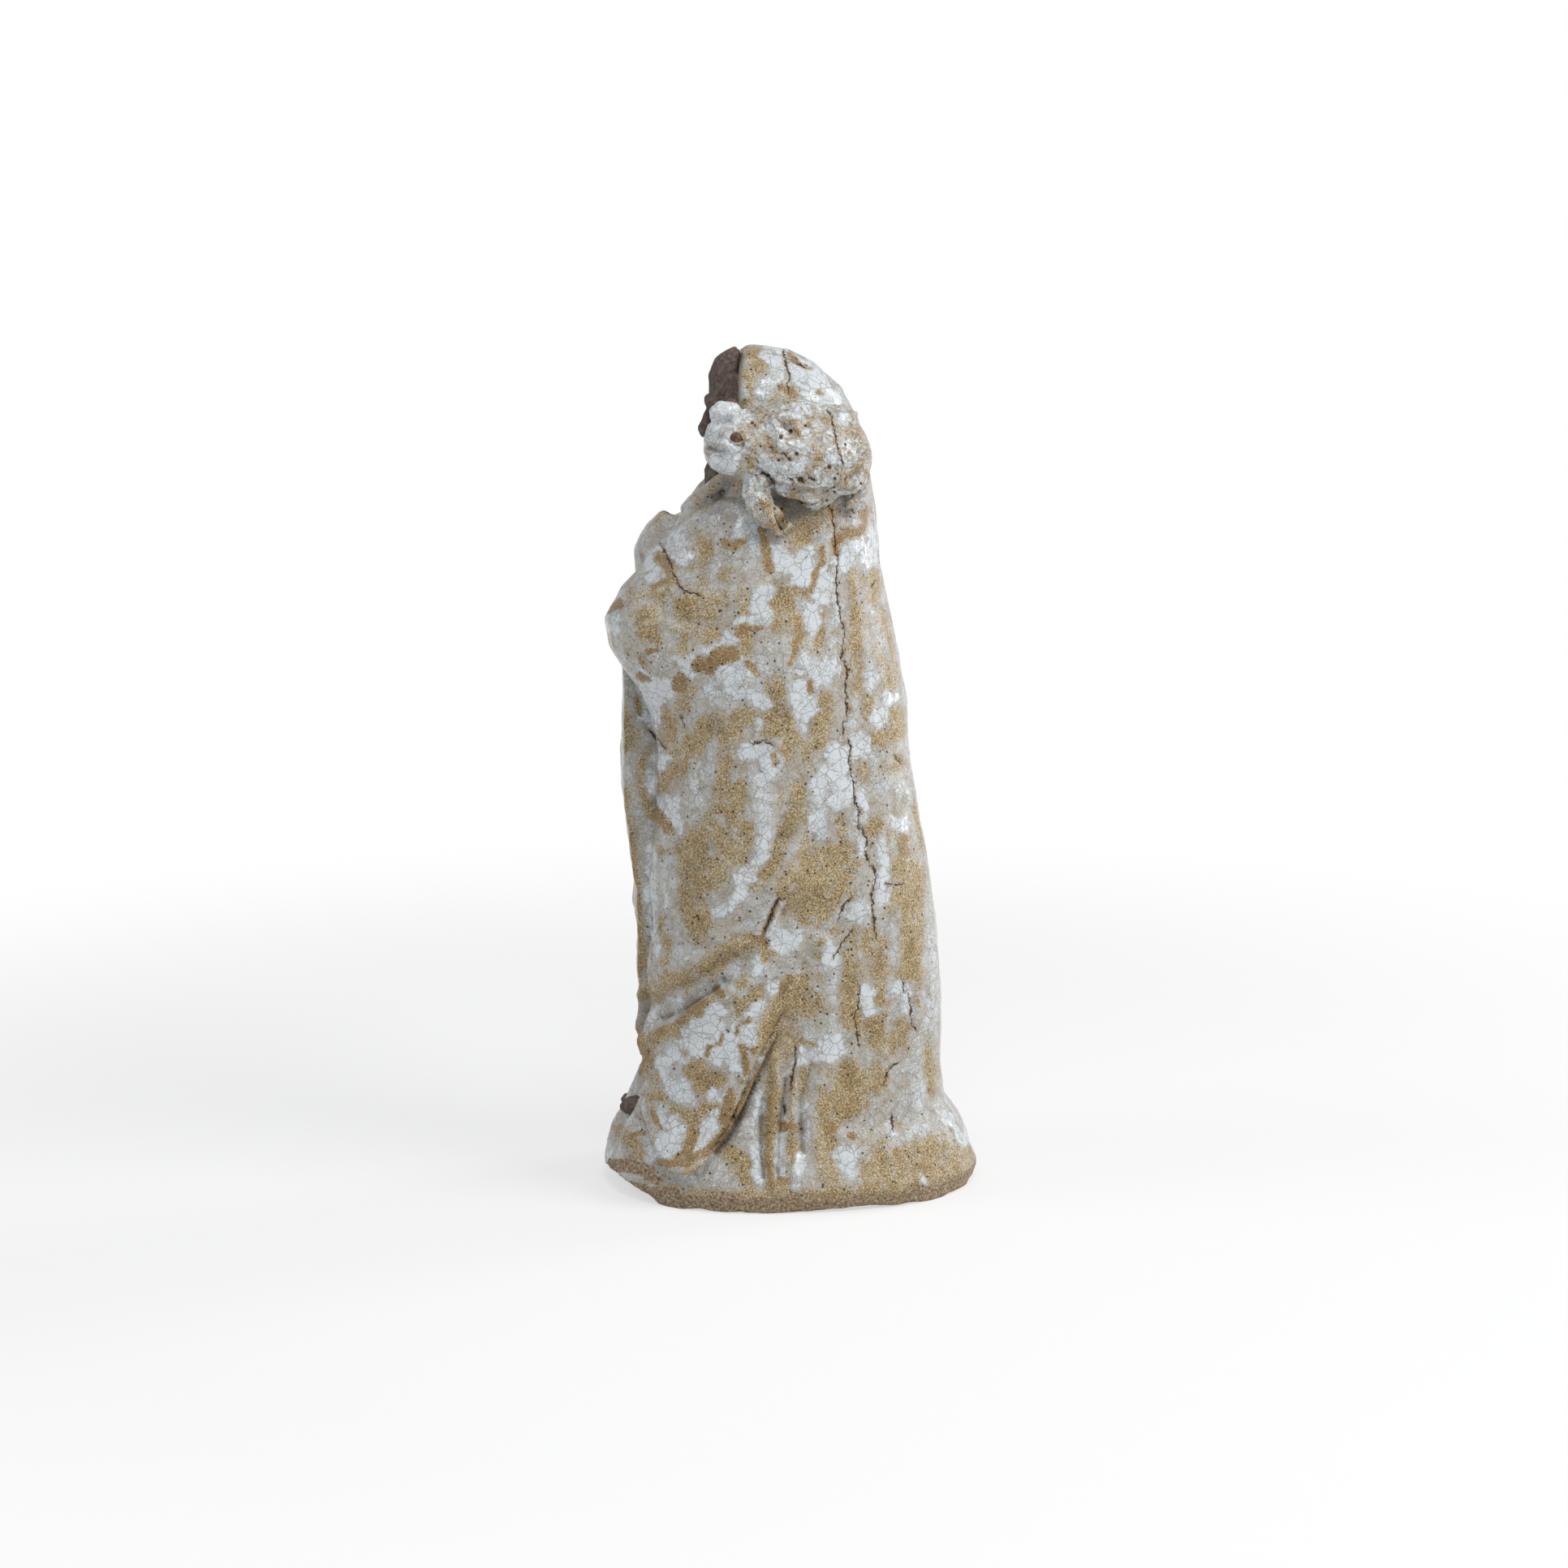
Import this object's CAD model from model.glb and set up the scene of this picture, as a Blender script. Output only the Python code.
"""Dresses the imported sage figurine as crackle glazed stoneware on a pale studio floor.

Lengths are in millimetres where a name or a comment does not say otherwise, and Blender's
objects are in metres. Strokes are drawn by hand on a sheet that lies flat before one side of
the figurine: one step of the sheet is about 0.147 mm on the clay.
"""
import logging
import math
from dataclasses import dataclass
from enum import Enum
from typing import Sequence

import bmesh
import bpy
import numpy as np
from mathutils import Matrix, Vector, noise


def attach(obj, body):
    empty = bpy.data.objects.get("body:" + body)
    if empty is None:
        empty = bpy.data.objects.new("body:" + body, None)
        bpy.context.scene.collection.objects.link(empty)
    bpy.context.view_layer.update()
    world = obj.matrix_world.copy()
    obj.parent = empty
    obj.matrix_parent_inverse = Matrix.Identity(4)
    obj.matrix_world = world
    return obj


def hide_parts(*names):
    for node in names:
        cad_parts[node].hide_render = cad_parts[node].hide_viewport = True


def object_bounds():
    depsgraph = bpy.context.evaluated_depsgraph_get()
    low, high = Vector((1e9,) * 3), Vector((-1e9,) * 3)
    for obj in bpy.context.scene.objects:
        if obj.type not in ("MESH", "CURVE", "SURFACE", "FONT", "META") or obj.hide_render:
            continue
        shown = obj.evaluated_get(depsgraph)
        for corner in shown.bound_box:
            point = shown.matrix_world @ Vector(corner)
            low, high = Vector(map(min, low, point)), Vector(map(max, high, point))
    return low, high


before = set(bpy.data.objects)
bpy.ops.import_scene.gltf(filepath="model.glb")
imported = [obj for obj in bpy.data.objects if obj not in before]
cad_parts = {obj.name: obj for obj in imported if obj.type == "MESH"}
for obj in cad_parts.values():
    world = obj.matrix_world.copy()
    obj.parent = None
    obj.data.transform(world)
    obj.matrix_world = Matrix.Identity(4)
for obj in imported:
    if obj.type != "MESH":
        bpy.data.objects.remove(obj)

LOG = logging.getLogger("sage_figurine")
CAD_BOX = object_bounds()
MM = 0.001
ROOT = "root"
NOISE_GAIN = 1.6  # brings Blender's noise to about -1 to 1
Socket = bpy.types.NodeSocket
Colour = tuple[float, float, float, float]
Place = tuple[float, float, float]
Line = Sequence[tuple[float, float]]
Strokes = Sequence[tuple]
Forms = Sequence[tuple[float, float, float]]


class Slot(Enum):
    """The finishes that the record names."""

    GLAZE = "crackle_glaze"
    BARE = "bare_clay"
    IRON = "iron_clay"


class Layer(Enum):
    """The values that a piece of clay carries at each point for its finish."""

    GLAZE = "glaze"
    BARE = "bare"
    SMOKE = "smoke"
    CRACK = "crack"
    CRACK_ON = "crack_on"
    HOLLOW = "hollow"
    PIT = "pit"


def to_linear(colour: str) -> Colour:
    """Turns an sRGB hex colour into linear light.

    Args:
        colour: A colour such as "#c6ccd0".

    Returns:
        Red, green, blue and a full alpha.
    """
    parts = [int(colour[i : i + 2], 16) / 255 for i in (1, 3, 5)]
    red, green, blue = (p / 12.92 if p <= 0.04045 else ((p + 0.055) / 1.055) ** 2.4 for p in parts)
    return red, green, blue, 1.0


def add_node(
    tree: bpy.types.NodeTree,
    kind: str,
    inputs: dict | None = None,
    out: int | str = 0,
    stops: Sequence[tuple[float, str]] = (),
    **settings: object,
) -> Socket:
    """Adds one shader node with its settings and links.

    Args:
        tree: The material's node tree.
        kind: The node's type without its ShaderNode prefix.
        inputs: Values or sockets for the node's inputs, by index or name.
        out: The output that the caller goes on with.
        stops: Places and colours of a colour ramp.
        settings: Properties of the node.

    Returns:
        The chosen output socket.
    """
    node = tree.nodes.new("ShaderNode" + kind)
    for name, value in settings.items():
        setattr(node, name, value)
    for key, value in (inputs or {}).items():
        if isinstance(value, Socket):
            tree.links.new(value, node.inputs[key])
        else:
            node.inputs[key].default_value = value
    for index, (place, colour) in enumerate(stops):
        ramp = node.color_ramp.elements
        stop = ramp[index] if index < 2 else ramp.new(place)
        stop.position = place
        stop.color = to_linear(colour)
    return node.outputs[out]


class Recipe:
    """A material under work: its tree, its shader and short words for common steps."""

    def __init__(self, name: str) -> None:
        """Makes an empty material with one Principled shader.

        Args:
            name: The finish's own name.
        """
        self.material = bpy.data.materials.new(name)
        self.material.use_nodes = True
        self.tree = self.material.node_tree
        self.tree.nodes.clear()
        self.shader = add_node(self.tree, "BsdfPrincipled").node
        output = self.tree.nodes.new("ShaderNodeOutputMaterial")
        self.tree.links.new(self.shader.outputs[0], output.inputs["Surface"])

    def add(self, kind: str, inputs: dict | None = None, **rest: object) -> Socket:
        """Adds a node to this material; see add_node."""
        return add_node(self.tree, kind, inputs, **rest)

    def millimetres(self) -> Socket:
        """Returns the place on the piece in millimetres."""
        place = self.add("TexCoord", out="Object")
        return self.add("VectorMath", {0: place, 3: 1 / MM}, operation="SCALE")

    def grain(self, place: Socket, size: float, detail: float = 2.0) -> Socket:
        """Adds soft noise.

        Args:
            place: Coordinates in millimetres.
            size: Width of a lump in millimetres.
            detail: How many finer octaves lie on it.

        Returns:
            A value about 0.5.
        """
        return self.add("TexNoise", {"Vector": place, "Scale": 1 / size, "Detail": detail, "Roughness": 0.6})

    def cells(self, place: Socket, size: float, out: str, feature: str = "F1") -> Socket:
        """Adds a cell pattern.

        Args:
            place: Coordinates in millimetres.
            size: Distance between cells in millimetres.
            out: Name of the output wanted.
            feature: Voronoi feature.

        Returns:
            The output.
        """
        return self.add("TexVoronoi", {"Vector": place, "Scale": 1 / size}, out=out, feature=feature)

    def sums(self, kind: str, first: object, second: object = 0.0, third: object = 0.0) -> Socket:
        """Does one step of arithmetic, such as ADD or MULTIPLY_ADD."""
        return self.add("Math", {0: first, 1: second, 2: third}, operation=kind)

    def ease(self, value: Socket, start: float, end: float, low: float = 0.0, high: float = 1.0) -> Socket:
        """Eases a value from low at start to high at end."""
        ends = {0: value, 1: start, 2: end, 3: low, 4: high}
        return self.add("MapRange", ends, interpolation_type="SMOOTHSTEP")

    def blend(self, share: object, under: object, over: object, kind: str = "MIX") -> Socket:
        """Lays one colour over another.

        Args:
            share: How much of the upper colour shows, from 0 to 1.
            under: The lower colour.
            over: The upper colour.
            kind: How they mix.

        Returns:
            The mixed colour.
        """
        under = to_linear(under) if isinstance(under, str) else under
        over = to_linear(over) if isinstance(over, str) else over
        return self.add("Mix", {0: share, 6: under, 7: over}, out=2, data_type="RGBA", blend_type=kind)

    def layer(self, layer: Layer) -> Socket:
        """Reads one of the piece's own values."""
        return self.add("Attribute", out="Fac", attribute_name=layer.value)

    def emboss(self, height: Socket) -> None:
        """Gives the surface a relief whose height is in millimetres."""
        bump = self.add("Bump", {"Height": height, "Distance": MM, "Strength": 1.0})
        self.tree.links.new(bump, self.shader.inputs["Normal"])

    def coat(self, **inputs: object) -> None:
        """Sets or links the shader's sockets.

        Args:
            inputs: A value or a socket for each; a name's underscores stand for blanks.
        """
        for name, value in inputs.items():
            socket = self.shader.inputs[name.replace("_", " ")]
            if isinstance(value, Socket):
                self.tree.links.new(value, socket)
            else:
                socket.default_value = value


@dataclass(frozen=True)
class CrackleGlaze:
    """Thick pale glaze that crawled and crazed over sandy grogged stoneware."""

    name: str = "Crackle_glaze_on_grogged_stoneware"
    pool: str = "#d0d5d8"
    pale: str = "#bfc3c4"
    veil: str = "#b1afa9"
    rust: str = "#86602f"
    soot: str = "#2c2118"
    craze_width: float = 4.3
    fine_craze_width: float = 2.3
    sand_grain: float = 0.6
    grog_spacing: float = 1.3
    speck_spacing: float = 2.0

    def clay(self, mix: Recipe, place: Socket) -> Socket:
        """Colours the sandy body under a thin glaze, with dark and pale grains."""
        sand = mix.add("ValToRGB", {0: mix.grain(place, self.sand_grain, 3.0)}, stops=(
            (0.37, "#3b2b15"), (0.46, "#856e47"), (0.54, "#ab946a"), (0.62, "#e2d1ac")))
        tint = mix.add("ValToRGB", {0: mix.grain(place, 10.0, 3.0)}, stops=(
            (0.34, "#6a5732"), (0.5, "#98804f"), (0.64, "#a99c80")))
        sand = mix.blend(0.40, sand, tint)
        grog = mix.cells(place, self.grog_spacing, "Distance")
        pale = mix.ease(grog, 0.22, 0.10)
        chance = mix.add("SeparateColor", {0: mix.cells(place, self.grog_spacing, "Color")})
        sand = mix.blend(mix.sums("MULTIPLY", pale, mix.ease(chance, 0.68, 0.74)), sand, "#dccdaa")
        return mix.blend(mix.sums("MULTIPLY", pale, mix.ease(chance, 0.30, 0.24)), sand, "#4a3820")

    def material(self) -> bpy.types.Material:
        """Builds the finish from the layers that the piece carries.

        Returns:
            The material.
        """
        mix = Recipe(self.name)
        place = mix.millimetres()
        thickness = mix.layer(Layer.GLAZE)
        mottle = mix.sums("SUBTRACT", mix.grain(place, 2.8, 4.0), 0.5)
        freckle = mix.sums("SUBTRACT", mix.grain(place, 0.7, 3.0), 0.5)
        level = mix.sums("MULTIPLY_ADD", mottle, 1.1, thickness)
        level = mix.sums("MULTIPLY_ADD", freckle, 1.9, level)
        thick = mix.ease(level, 0.50, 0.76)
        veil = mix.ease(level, -0.42, 0.26)
        ochre = mix.ease(level, -0.70, -1.10)

        colour = self.clay(mix, place)
        colour = mix.blend(mix.sums("MULTIPLY", ochre, 0.55), colour, "#7d5b32")
        cloud = mix.add("ValToRGB", {0: mix.grain(place, 5.0, 3.0)}, stops=(
            (0.36, "#a69f93"), (0.5, self.veil), (0.66, "#bdbfbf")))
        colour = mix.blend(mix.sums("MULTIPLY", veil, 0.88), colour, cloud)
        filled = mix.ease(level, 0.6, 1.25)
        pool = mix.add("ValToRGB", {0: filled}, stops=((0.0, self.pale), (1.0, self.pool)))
        colour = mix.blend(thick, colour, pool)

        warp = mix.add("TexNoise", {"Vector": place, "Scale": 0.5, "Detail": 2.0}, out="Color")
        bent = mix.add("VectorMath", {0: warp, 1: (1.1, 1.1, 1.1), 2: place}, operation="MULTIPLY_ADD")
        wide = mix.cells(bent, self.craze_width, "Distance", "DISTANCE_TO_EDGE")
        fine = mix.cells(bent, self.fine_craze_width, "Distance", "DISTANCE_TO_EDGE")
        net = mix.ease(wide, 0.055, 0.012)
        some = mix.ease(mix.grain(place, 16.0, 1.0), 0.48, 0.60)
        fine_net = mix.sums("MULTIPLY", mix.ease(fine, 0.085, 0.02), some)
        net = mix.sums("MAXIMUM", net, mix.sums("MULTIPLY", fine_net, 0.8))
        shown = mix.sums("MULTIPLY", net, mix.ease(veil, 0.2, 1.0, 0.1, 0.55))
        stained = mix.ease(mix.grain(place, 12.0, 2.0), 0.50, 0.64)
        craze_colour = mix.blend(mix.sums("MULTIPLY", stained, 0.7), "#7d7d7a", "#7a6140")
        colour = mix.blend(shown, colour, craze_colour)

        dots = mix.cells(place, self.speck_spacing, "Distance")
        chance = mix.add("SeparateColor", {0: mix.cells(place, self.speck_spacing, "Color")})
        speck = mix.sums("LESS_THAN", dots, mix.ease(chance, 0.38, 1.0, 0.0, 0.25))
        speck = mix.sums("MULTIPLY", speck, mix.ease(thick, 0.0, 1.0, 0.9, 0.12))
        pit = mix.layer(Layer.PIT)
        speck = mix.sums("MAXIMUM", speck, mix.ease(pit, 0.38, 0.68))
        colour = mix.blend(mix.ease(pit, 0.08, 0.45, 0.0, 0.7), colour, self.rust)
        colour = mix.blend(speck, colour, self.soot)

        stray = mix.sums("SUBTRACT", mix.grain(place, 2.0, 3.0), 0.5)
        run = mix.sums("MULTIPLY_ADD", stray, 3.2, mix.layer(Layer.CRACK))
        off = mix.sums("ABSOLUTE", run)
        beads = mix.ease(mix.grain(place, 2.2, 1.0), 0.35, 0.65, 0.02, 0.26)
        depth = mix.sums("SUBTRACT", off, beads)
        gap = mix.sums("MULTIPLY", mix.ease(depth, 0.18, 0.0), mix.layer(Layer.CRACK_ON))
        halo = mix.sums("MULTIPLY", mix.ease(off, 1.3, 0.3), mix.layer(Layer.CRACK_ON))
        halo = mix.sums("MULTIPLY", halo, mix.ease(mix.grain(place, 3.0, 2.0), 0.42, 0.58))
        colour = mix.blend(mix.sums("MULTIPLY", halo, 0.6), colour, self.rust)
        colour = mix.blend(mix.sums("MULTIPLY", gap, 0.94), colour, "#33240f")

        hollow = mix.layer(Layer.HOLLOW)
        colour = mix.blend(mix.ease(hollow, 0.10, 0.9, 0.0, 0.75), colour, "#837a6c", kind="MULTIPLY")

        bare = mix.ease(mix.sums("MULTIPLY_ADD", mottle, 0.7, mix.layer(Layer.BARE)), 0.35, 0.65)
        raw = mix.add("ValToRGB", {0: mix.grain(place, 0.9, 4.0)}, stops=(
            (0.32, "#54442f"), (0.5, "#8f7b61"), (0.68, "#c0ae95")))
        smoke = mix.add("ValToRGB", {0: mix.grain(place, 1.4, 4.0)}, stops=(
            (0.30, "#332a26"), (0.5, "#5a4d47"), (0.72, "#7b6d63")))
        raw = mix.blend(mix.layer(Layer.SMOKE), raw, smoke)
        colour = mix.blend(bare, colour, raw)

        gloss = mix.ease(level, -0.9, 0.6, 0.42, 0.10)
        gloss = mix.sums("MAXIMUM", gloss, mix.sums("MULTIPLY", bare, 0.88))
        gloss = mix.sums("MAXIMUM", gloss, mix.sums("MULTIPLY", gap, 0.8))
        height = mix.sums("MULTIPLY", thick, 0.12)
        sandy = mix.sums("MULTIPLY", mix.grain(place, 0.8, 3.0), mix.ease(thick, 0.0, 1.0, 0.30, 0.03))
        height = mix.sums("ADD", height, sandy)
        height = mix.sums("MULTIPLY_ADD", net, -0.02, height)
        height = mix.sums("MULTIPLY_ADD", speck, -0.12, height)
        height = mix.sums("MULTIPLY_ADD", gap, -0.5, height)
        height = mix.sums("MULTIPLY_ADD", mix.grain(place, 6.0, 2.0), 0.25, height)
        mix.emboss(height)
        mix.coat(Base_Color=colour, Roughness=gloss, IOR=1.5)
        return mix.material


@dataclass(frozen=True)
class BareStoneware:
    """Dark reduced stoneware left without glaze: matt, open and a little gritty."""

    name: str = "Bare_dark_stoneware"

    def material(self) -> bpy.types.Material:
        """Builds the finish.

        Returns:
            The material.
        """
        mix = Recipe(self.name)
        place = mix.millimetres()
        colour = mix.add("ValToRGB", {0: mix.grain(place, 1.6, 5.0)}, stops=(
            (0.28, "#33291f"), (0.46, "#574a43"), (0.58, "#66584f"), (0.74, "#85776b")))
        worn = mix.ease(mix.grain(place, 9.0, 3.0), 0.48, 0.66, 0.0, 0.45)
        colour = mix.blend(worn, colour, "#7a6c61")
        pits = mix.ease(mix.cells(place, 1.7, "Distance"), 0.20, 0.08)
        some = mix.ease(mix.add("SeparateColor", {0: mix.cells(place, 1.7, "Color")}), 0.6, 0.62)
        pits = mix.sums("MULTIPLY", pits, some)
        colour = mix.blend(mix.sums("MULTIPLY", pits, 0.8), colour, "#241c17")
        height = mix.sums("MULTIPLY", mix.grain(place, 1.0, 4.0), 0.35)
        height = mix.sums("MULTIPLY_ADD", pits, -0.2, height)
        mix.emboss(height)
        mix.coat(Base_Color=colour, Roughness=0.86, IOR=1.45)
        return mix.material


@dataclass(frozen=True)
class IronClay:
    """A pellet of iron-rich clay that fluxed to a half-gloss brown."""

    name: str = "Iron_clay_pellet"

    def material(self) -> bpy.types.Material:
        """Builds the finish.

        Returns:
            The material.
        """
        mix = Recipe(self.name)
        place = mix.millimetres()
        colour = mix.add("ValToRGB", {0: mix.grain(place, 1.2, 3.0)}, stops=(
            (0.30, "#26150e"), (0.52, "#4f2f20"), (0.70, "#85583a")))
        mix.emboss(mix.sums("MULTIPLY", mix.grain(place, 0.9, 2.0), 0.3))
        mix.coat(Base_Color=colour, Roughness=0.3, IOR=1.5)
        return mix.material


@dataclass(frozen=True)
class PaleFloor:
    """Seamless white paper that keeps a soft shadow."""

    name: str = "White_studio_paper"
    paper: str = "#f4f4f4"
    shown: float = 0.60
    shadow_reach: float = 290.0

    def material(self) -> bpy.types.Material:
        """Builds paper that bounces light as paper does and looks white to the camera.

        Returns:
            The material.
        """
        mix = Recipe(self.name)
        mix.coat(Base_Color=to_linear(self.paper), Roughness=0.9)
        glow = mix.add("Emission", {"Color": to_linear("#ffffff"), "Strength": self.shown})
        grey = mix.add("BsdfDiffuse", {"Color": to_linear("#a0a0a0")})
        near = mix.add("AddShader", {0: glow, 1: grey})
        away = mix.add("VectorMath", {0: mix.millimetres()}, operation="LENGTH", out="Value")
        plain = mix.add("Emission", {"Color": to_linear("#ffffff"), "Strength": 1.0})
        faded = mix.ease(away, self.shadow_reach, self.shadow_reach * 2.2)
        seen = mix.add("MixShader", {0: faded, 1: near, 2: plain})
        camera = mix.add("LightPath", out="Is Camera Ray")
        glossy = mix.add("LightPath", out="Is Glossy Ray")
        pale = mix.sums("MAXIMUM", camera, glossy)
        surface = mix.add("MixShader", {0: pale, 1: mix.shader.outputs[0], 2: seen})
        output = next(n for n in mix.tree.nodes if n.type == "OUTPUT_MATERIAL")
        mix.tree.links.new(surface, output.inputs["Surface"])
        return mix.material


@dataclass(frozen=True)
class Facing:
    """One side of the figurine and the drawing sheet that lies flat before it.

    The angles are those of the photograph's camera, in degrees.
    """

    azimuth: float = 84.0
    elevation: float = 11.0
    distance: float = 1577.0
    target: Place = (0.0, -3.0, 146.4)
    sheet_scale: float = 10733.4
    sheet_middle: tuple[float, float] = (572.0, 1172.0)
    unseen: float = 0.0
    well_seen: float = 0.24

    def axes(self) -> np.ndarray:
        """Returns three rows: to the right, up, and towards the viewer."""
        turn, lift = math.radians(self.azimuth), math.radians(self.elevation)
        toward = (math.cos(lift) * math.sin(turn), -math.cos(lift) * math.cos(turn), math.sin(lift))
        right = (math.cos(turn), math.sin(turn), 0.0)
        return np.array([right, np.cross(toward, right), toward])

    def viewer(self) -> np.ndarray:
        """Returns where the viewer stands."""
        return np.array(self.target) + self.distance * self.axes()[2]

    def lay_flat(self, points: np.ndarray) -> np.ndarray:
        """Finds where points fall on the sheet.

        Args:
            points: Places in millimetres, one a row.

        Returns:
            Sheet places, one a row, growing right and down.
        """
        seen = (points - np.array(self.target)) @ self.axes().T
        depth = self.distance - seen[:, 2]
        flat = self.sheet_scale * seen[:, :2] / depth[:, None]
        return np.stack([self.sheet_middle[0] + flat[:, 0], self.sheet_middle[1] - flat[:, 1]], axis=1)

    def step(self) -> float:
        """Returns the millimetres on the clay in one step of the sheet."""
        return self.distance / self.sheet_scale

    def sees(self, normals: np.ndarray) -> np.ndarray:
        """Returns how far each normal turns to the viewer, from 0 to 1."""
        return ease(normals @ self.axes()[2], self.unseen, self.well_seen)


def ease(values: np.ndarray, start: float, end: float) -> np.ndarray:
    """Eases values from 0 at start to 1 at end."""
    share = np.clip((values - start) / (end - start), 0.0, 1.0)
    return share * share * (3.0 - 2.0 * share)


def mottle(points: np.ndarray, size: float | Place, seed: float = 0.0) -> np.ndarray:
    """Samples smooth noise.

    Args:
        points: Places in millimetres.
        size: Width of a lump, or one width for each axis.
        seed: Moves to another part of the noise.

    Returns:
        Values from about -1 to 1.
    """
    places = points / np.asarray(size) + seed
    return np.array([noise.noise(Vector(place)) for place in places]) * NOISE_GAIN


def away_from(flat: np.ndarray, line: Line) -> tuple[np.ndarray, np.ndarray]:
    """Measures points against a drawn line.

    Args:
        flat: Sheet places.
        line: The line's points.

    Returns:
        The signed distance, positive on the line's right, and how far the nearest place on
        the line is from its nearer end.
    """
    best = np.full(len(flat), 1e9)
    signed = np.full(len(flat), 1e9)
    run = np.zeros(len(flat))
    corners = np.array(line if len(line) > 1 else (line[0], (line[0][0] + 0.01, line[0][1])), dtype=float)
    lengths = np.linalg.norm(np.diff(corners, axis=0), axis=1)
    start, total = 0.0, lengths.sum()
    for first, second, length in zip(corners, corners[1:], lengths):
        way = (second - first) / length
        rel = flat - first
        along = np.clip(rel @ way, 0.0, length)
        off = rel - along[:, None] * way
        gap = np.hypot(off[:, 0], off[:, 1])
        side = np.where(rel[:, 0] * way[1] - rel[:, 1] * way[0] > 0, -1.0, 1.0)
        near = gap < best
        best = np.where(near, gap, best)
        signed = np.where(near, gap * side, signed)
        place = start + along
        run = np.where(near, np.minimum(place, total - place), run)
        start += length
    return signed, run


class ClaySkin:
    """The skin of one piece of clay as arrays, in millimetres."""

    def __init__(self, piece: bpy.types.Object) -> None:
        """Reads a piece's mesh.

        Args:
            piece: An object at the origin.
        """
        self.mesh = piece.data
        count = len(self.mesh.vertices)
        self.points = np.empty(count * 3)
        self.mesh.vertices.foreach_get("co", self.points)
        self.points = self.points.reshape(-1, 3) / MM
        ends = np.empty(len(self.mesh.edges) * 2, dtype=np.int64)
        self.mesh.edges.foreach_get("vertices", ends)
        self.ends = ends.reshape(-1, 2)
        both = np.concatenate([self.ends, self.ends[:, ::-1]])
        self.count = count
        self.source, self.other = both[:, 0], both[:, 1]
        self.degree = np.maximum(np.bincount(self.source, minlength=count), 1)

    def around(self, values: np.ndarray) -> np.ndarray:
        """Averages each point's neighbours.

        Args:
            values: One value or one row a point.

        Returns:
            The mean at each point.
        """
        if values.ndim == 1:
            return np.bincount(self.source, values[self.other], self.count) / self.degree
        return np.stack([self.around(column) for column in values.T], axis=1)

    def soften(self, values: np.ndarray, times: int) -> np.ndarray:
        """Smooths values over the skin.

        Args:
            values: One value or one row a point.
            times: How often to smooth.

        Returns:
            The smooth values.
        """
        for _ in range(times):
            values = 0.5 * values + 0.5 * self.around(values)
        return values

    def write(self) -> None:
        """Puts the points back in the mesh."""
        self.mesh.vertices.foreach_set("co", (self.points * MM).ravel())
        self.mesh.update()

    def normals(self) -> np.ndarray:
        """Returns the skin's outward directions."""
        self.write()
        normals = np.empty(self.count * 3)
        self.mesh.vertex_normals.foreach_get("vector", normals)
        return normals.reshape(-1, 3)

    def relax(self, times: int, keep: np.ndarray | None = None) -> None:
        """Smooths facets away and keeps the volume: each pull in is followed by a push out.

        Args:
            times: How often to smooth.
            keep: 1 where an edge stays crisp, 0 where the skin may relax.
        """
        free = 1.0 if keep is None else (1.0 - 0.92 * keep)[:, None]
        for _ in range(times):
            for pull in (0.55, -0.57):
                self.points += free * pull * (self.around(self.points) - self.points)

    def crispness(self) -> np.ndarray:
        """Returns 1 at true edges and 0 on gentle facets."""
        normals = self.normals()
        mean = self.soften(normals, 8)
        bend = np.linalg.norm(normals - mean, axis=1)
        return self.soften(ease(bend, 0.20, 0.40), 2)

    def push(self, height: np.ndarray) -> None:
        """Moves the skin along its normals."""
        self.points += self.normals() * height[:, None]

    def keep_in(self, low: Vector, high: Vector, margin: float = 0.02) -> None:
        """Keeps the skin inside a box given in metres."""
        self.points = np.clip(self.points, np.array(low) / MM + margin, np.array(high) / MM - margin)

    def carry(self, layer: Layer, values: np.ndarray) -> None:
        """Stores values for the finish.

        Args:
            layer: What they stand for.
            values: One value a point.
        """
        name = layer.value
        store = self.mesh.attributes.get(name) or self.mesh.attributes.new(name, "FLOAT", "POINT")
        store.data.foreach_set("value", values.astype(np.float32))


def clay_body(name: str, nodes: Sequence[str], voxel: float, swell: float) -> bpy.types.Object:
    """Joins copies of CAD nodes into one even skin.

    Args:
        name: The new piece's name.
        nodes: The CAD nodes to join.
        voxel: Width of the new faces.
        swell: How far the copies grow, so that hairline gaps close.

    Returns:
        The piece, with its place in its mesh.
    """
    clay = bmesh.new()
    for node in nodes:
        clay.from_mesh(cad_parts[node].data)
    bmesh.ops.remove_doubles(clay, verts=clay.verts, dist=1e-6)
    clay.normal_update()
    for vert in clay.verts:
        vert.co += vert.normal * swell * MM
    draft_mesh = bpy.data.meshes.new(name + "_draft")
    clay.to_mesh(draft_mesh)
    clay.free()
    draft = bpy.data.objects.new(name + "_draft", draft_mesh)
    bpy.context.scene.collection.objects.link(draft)
    remesh = draft.modifiers.new("skin", "REMESH")
    remesh.mode = "VOXEL"
    remesh.voxel_size = voxel * MM
    graph = bpy.context.evaluated_depsgraph_get()
    mesh = bpy.data.meshes.new_from_object(draft.evaluated_get(graph))
    mesh.name = name
    bpy.data.objects.remove(draft)
    bpy.data.meshes.remove(draft_mesh)
    return add_piece(name, mesh)


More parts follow.
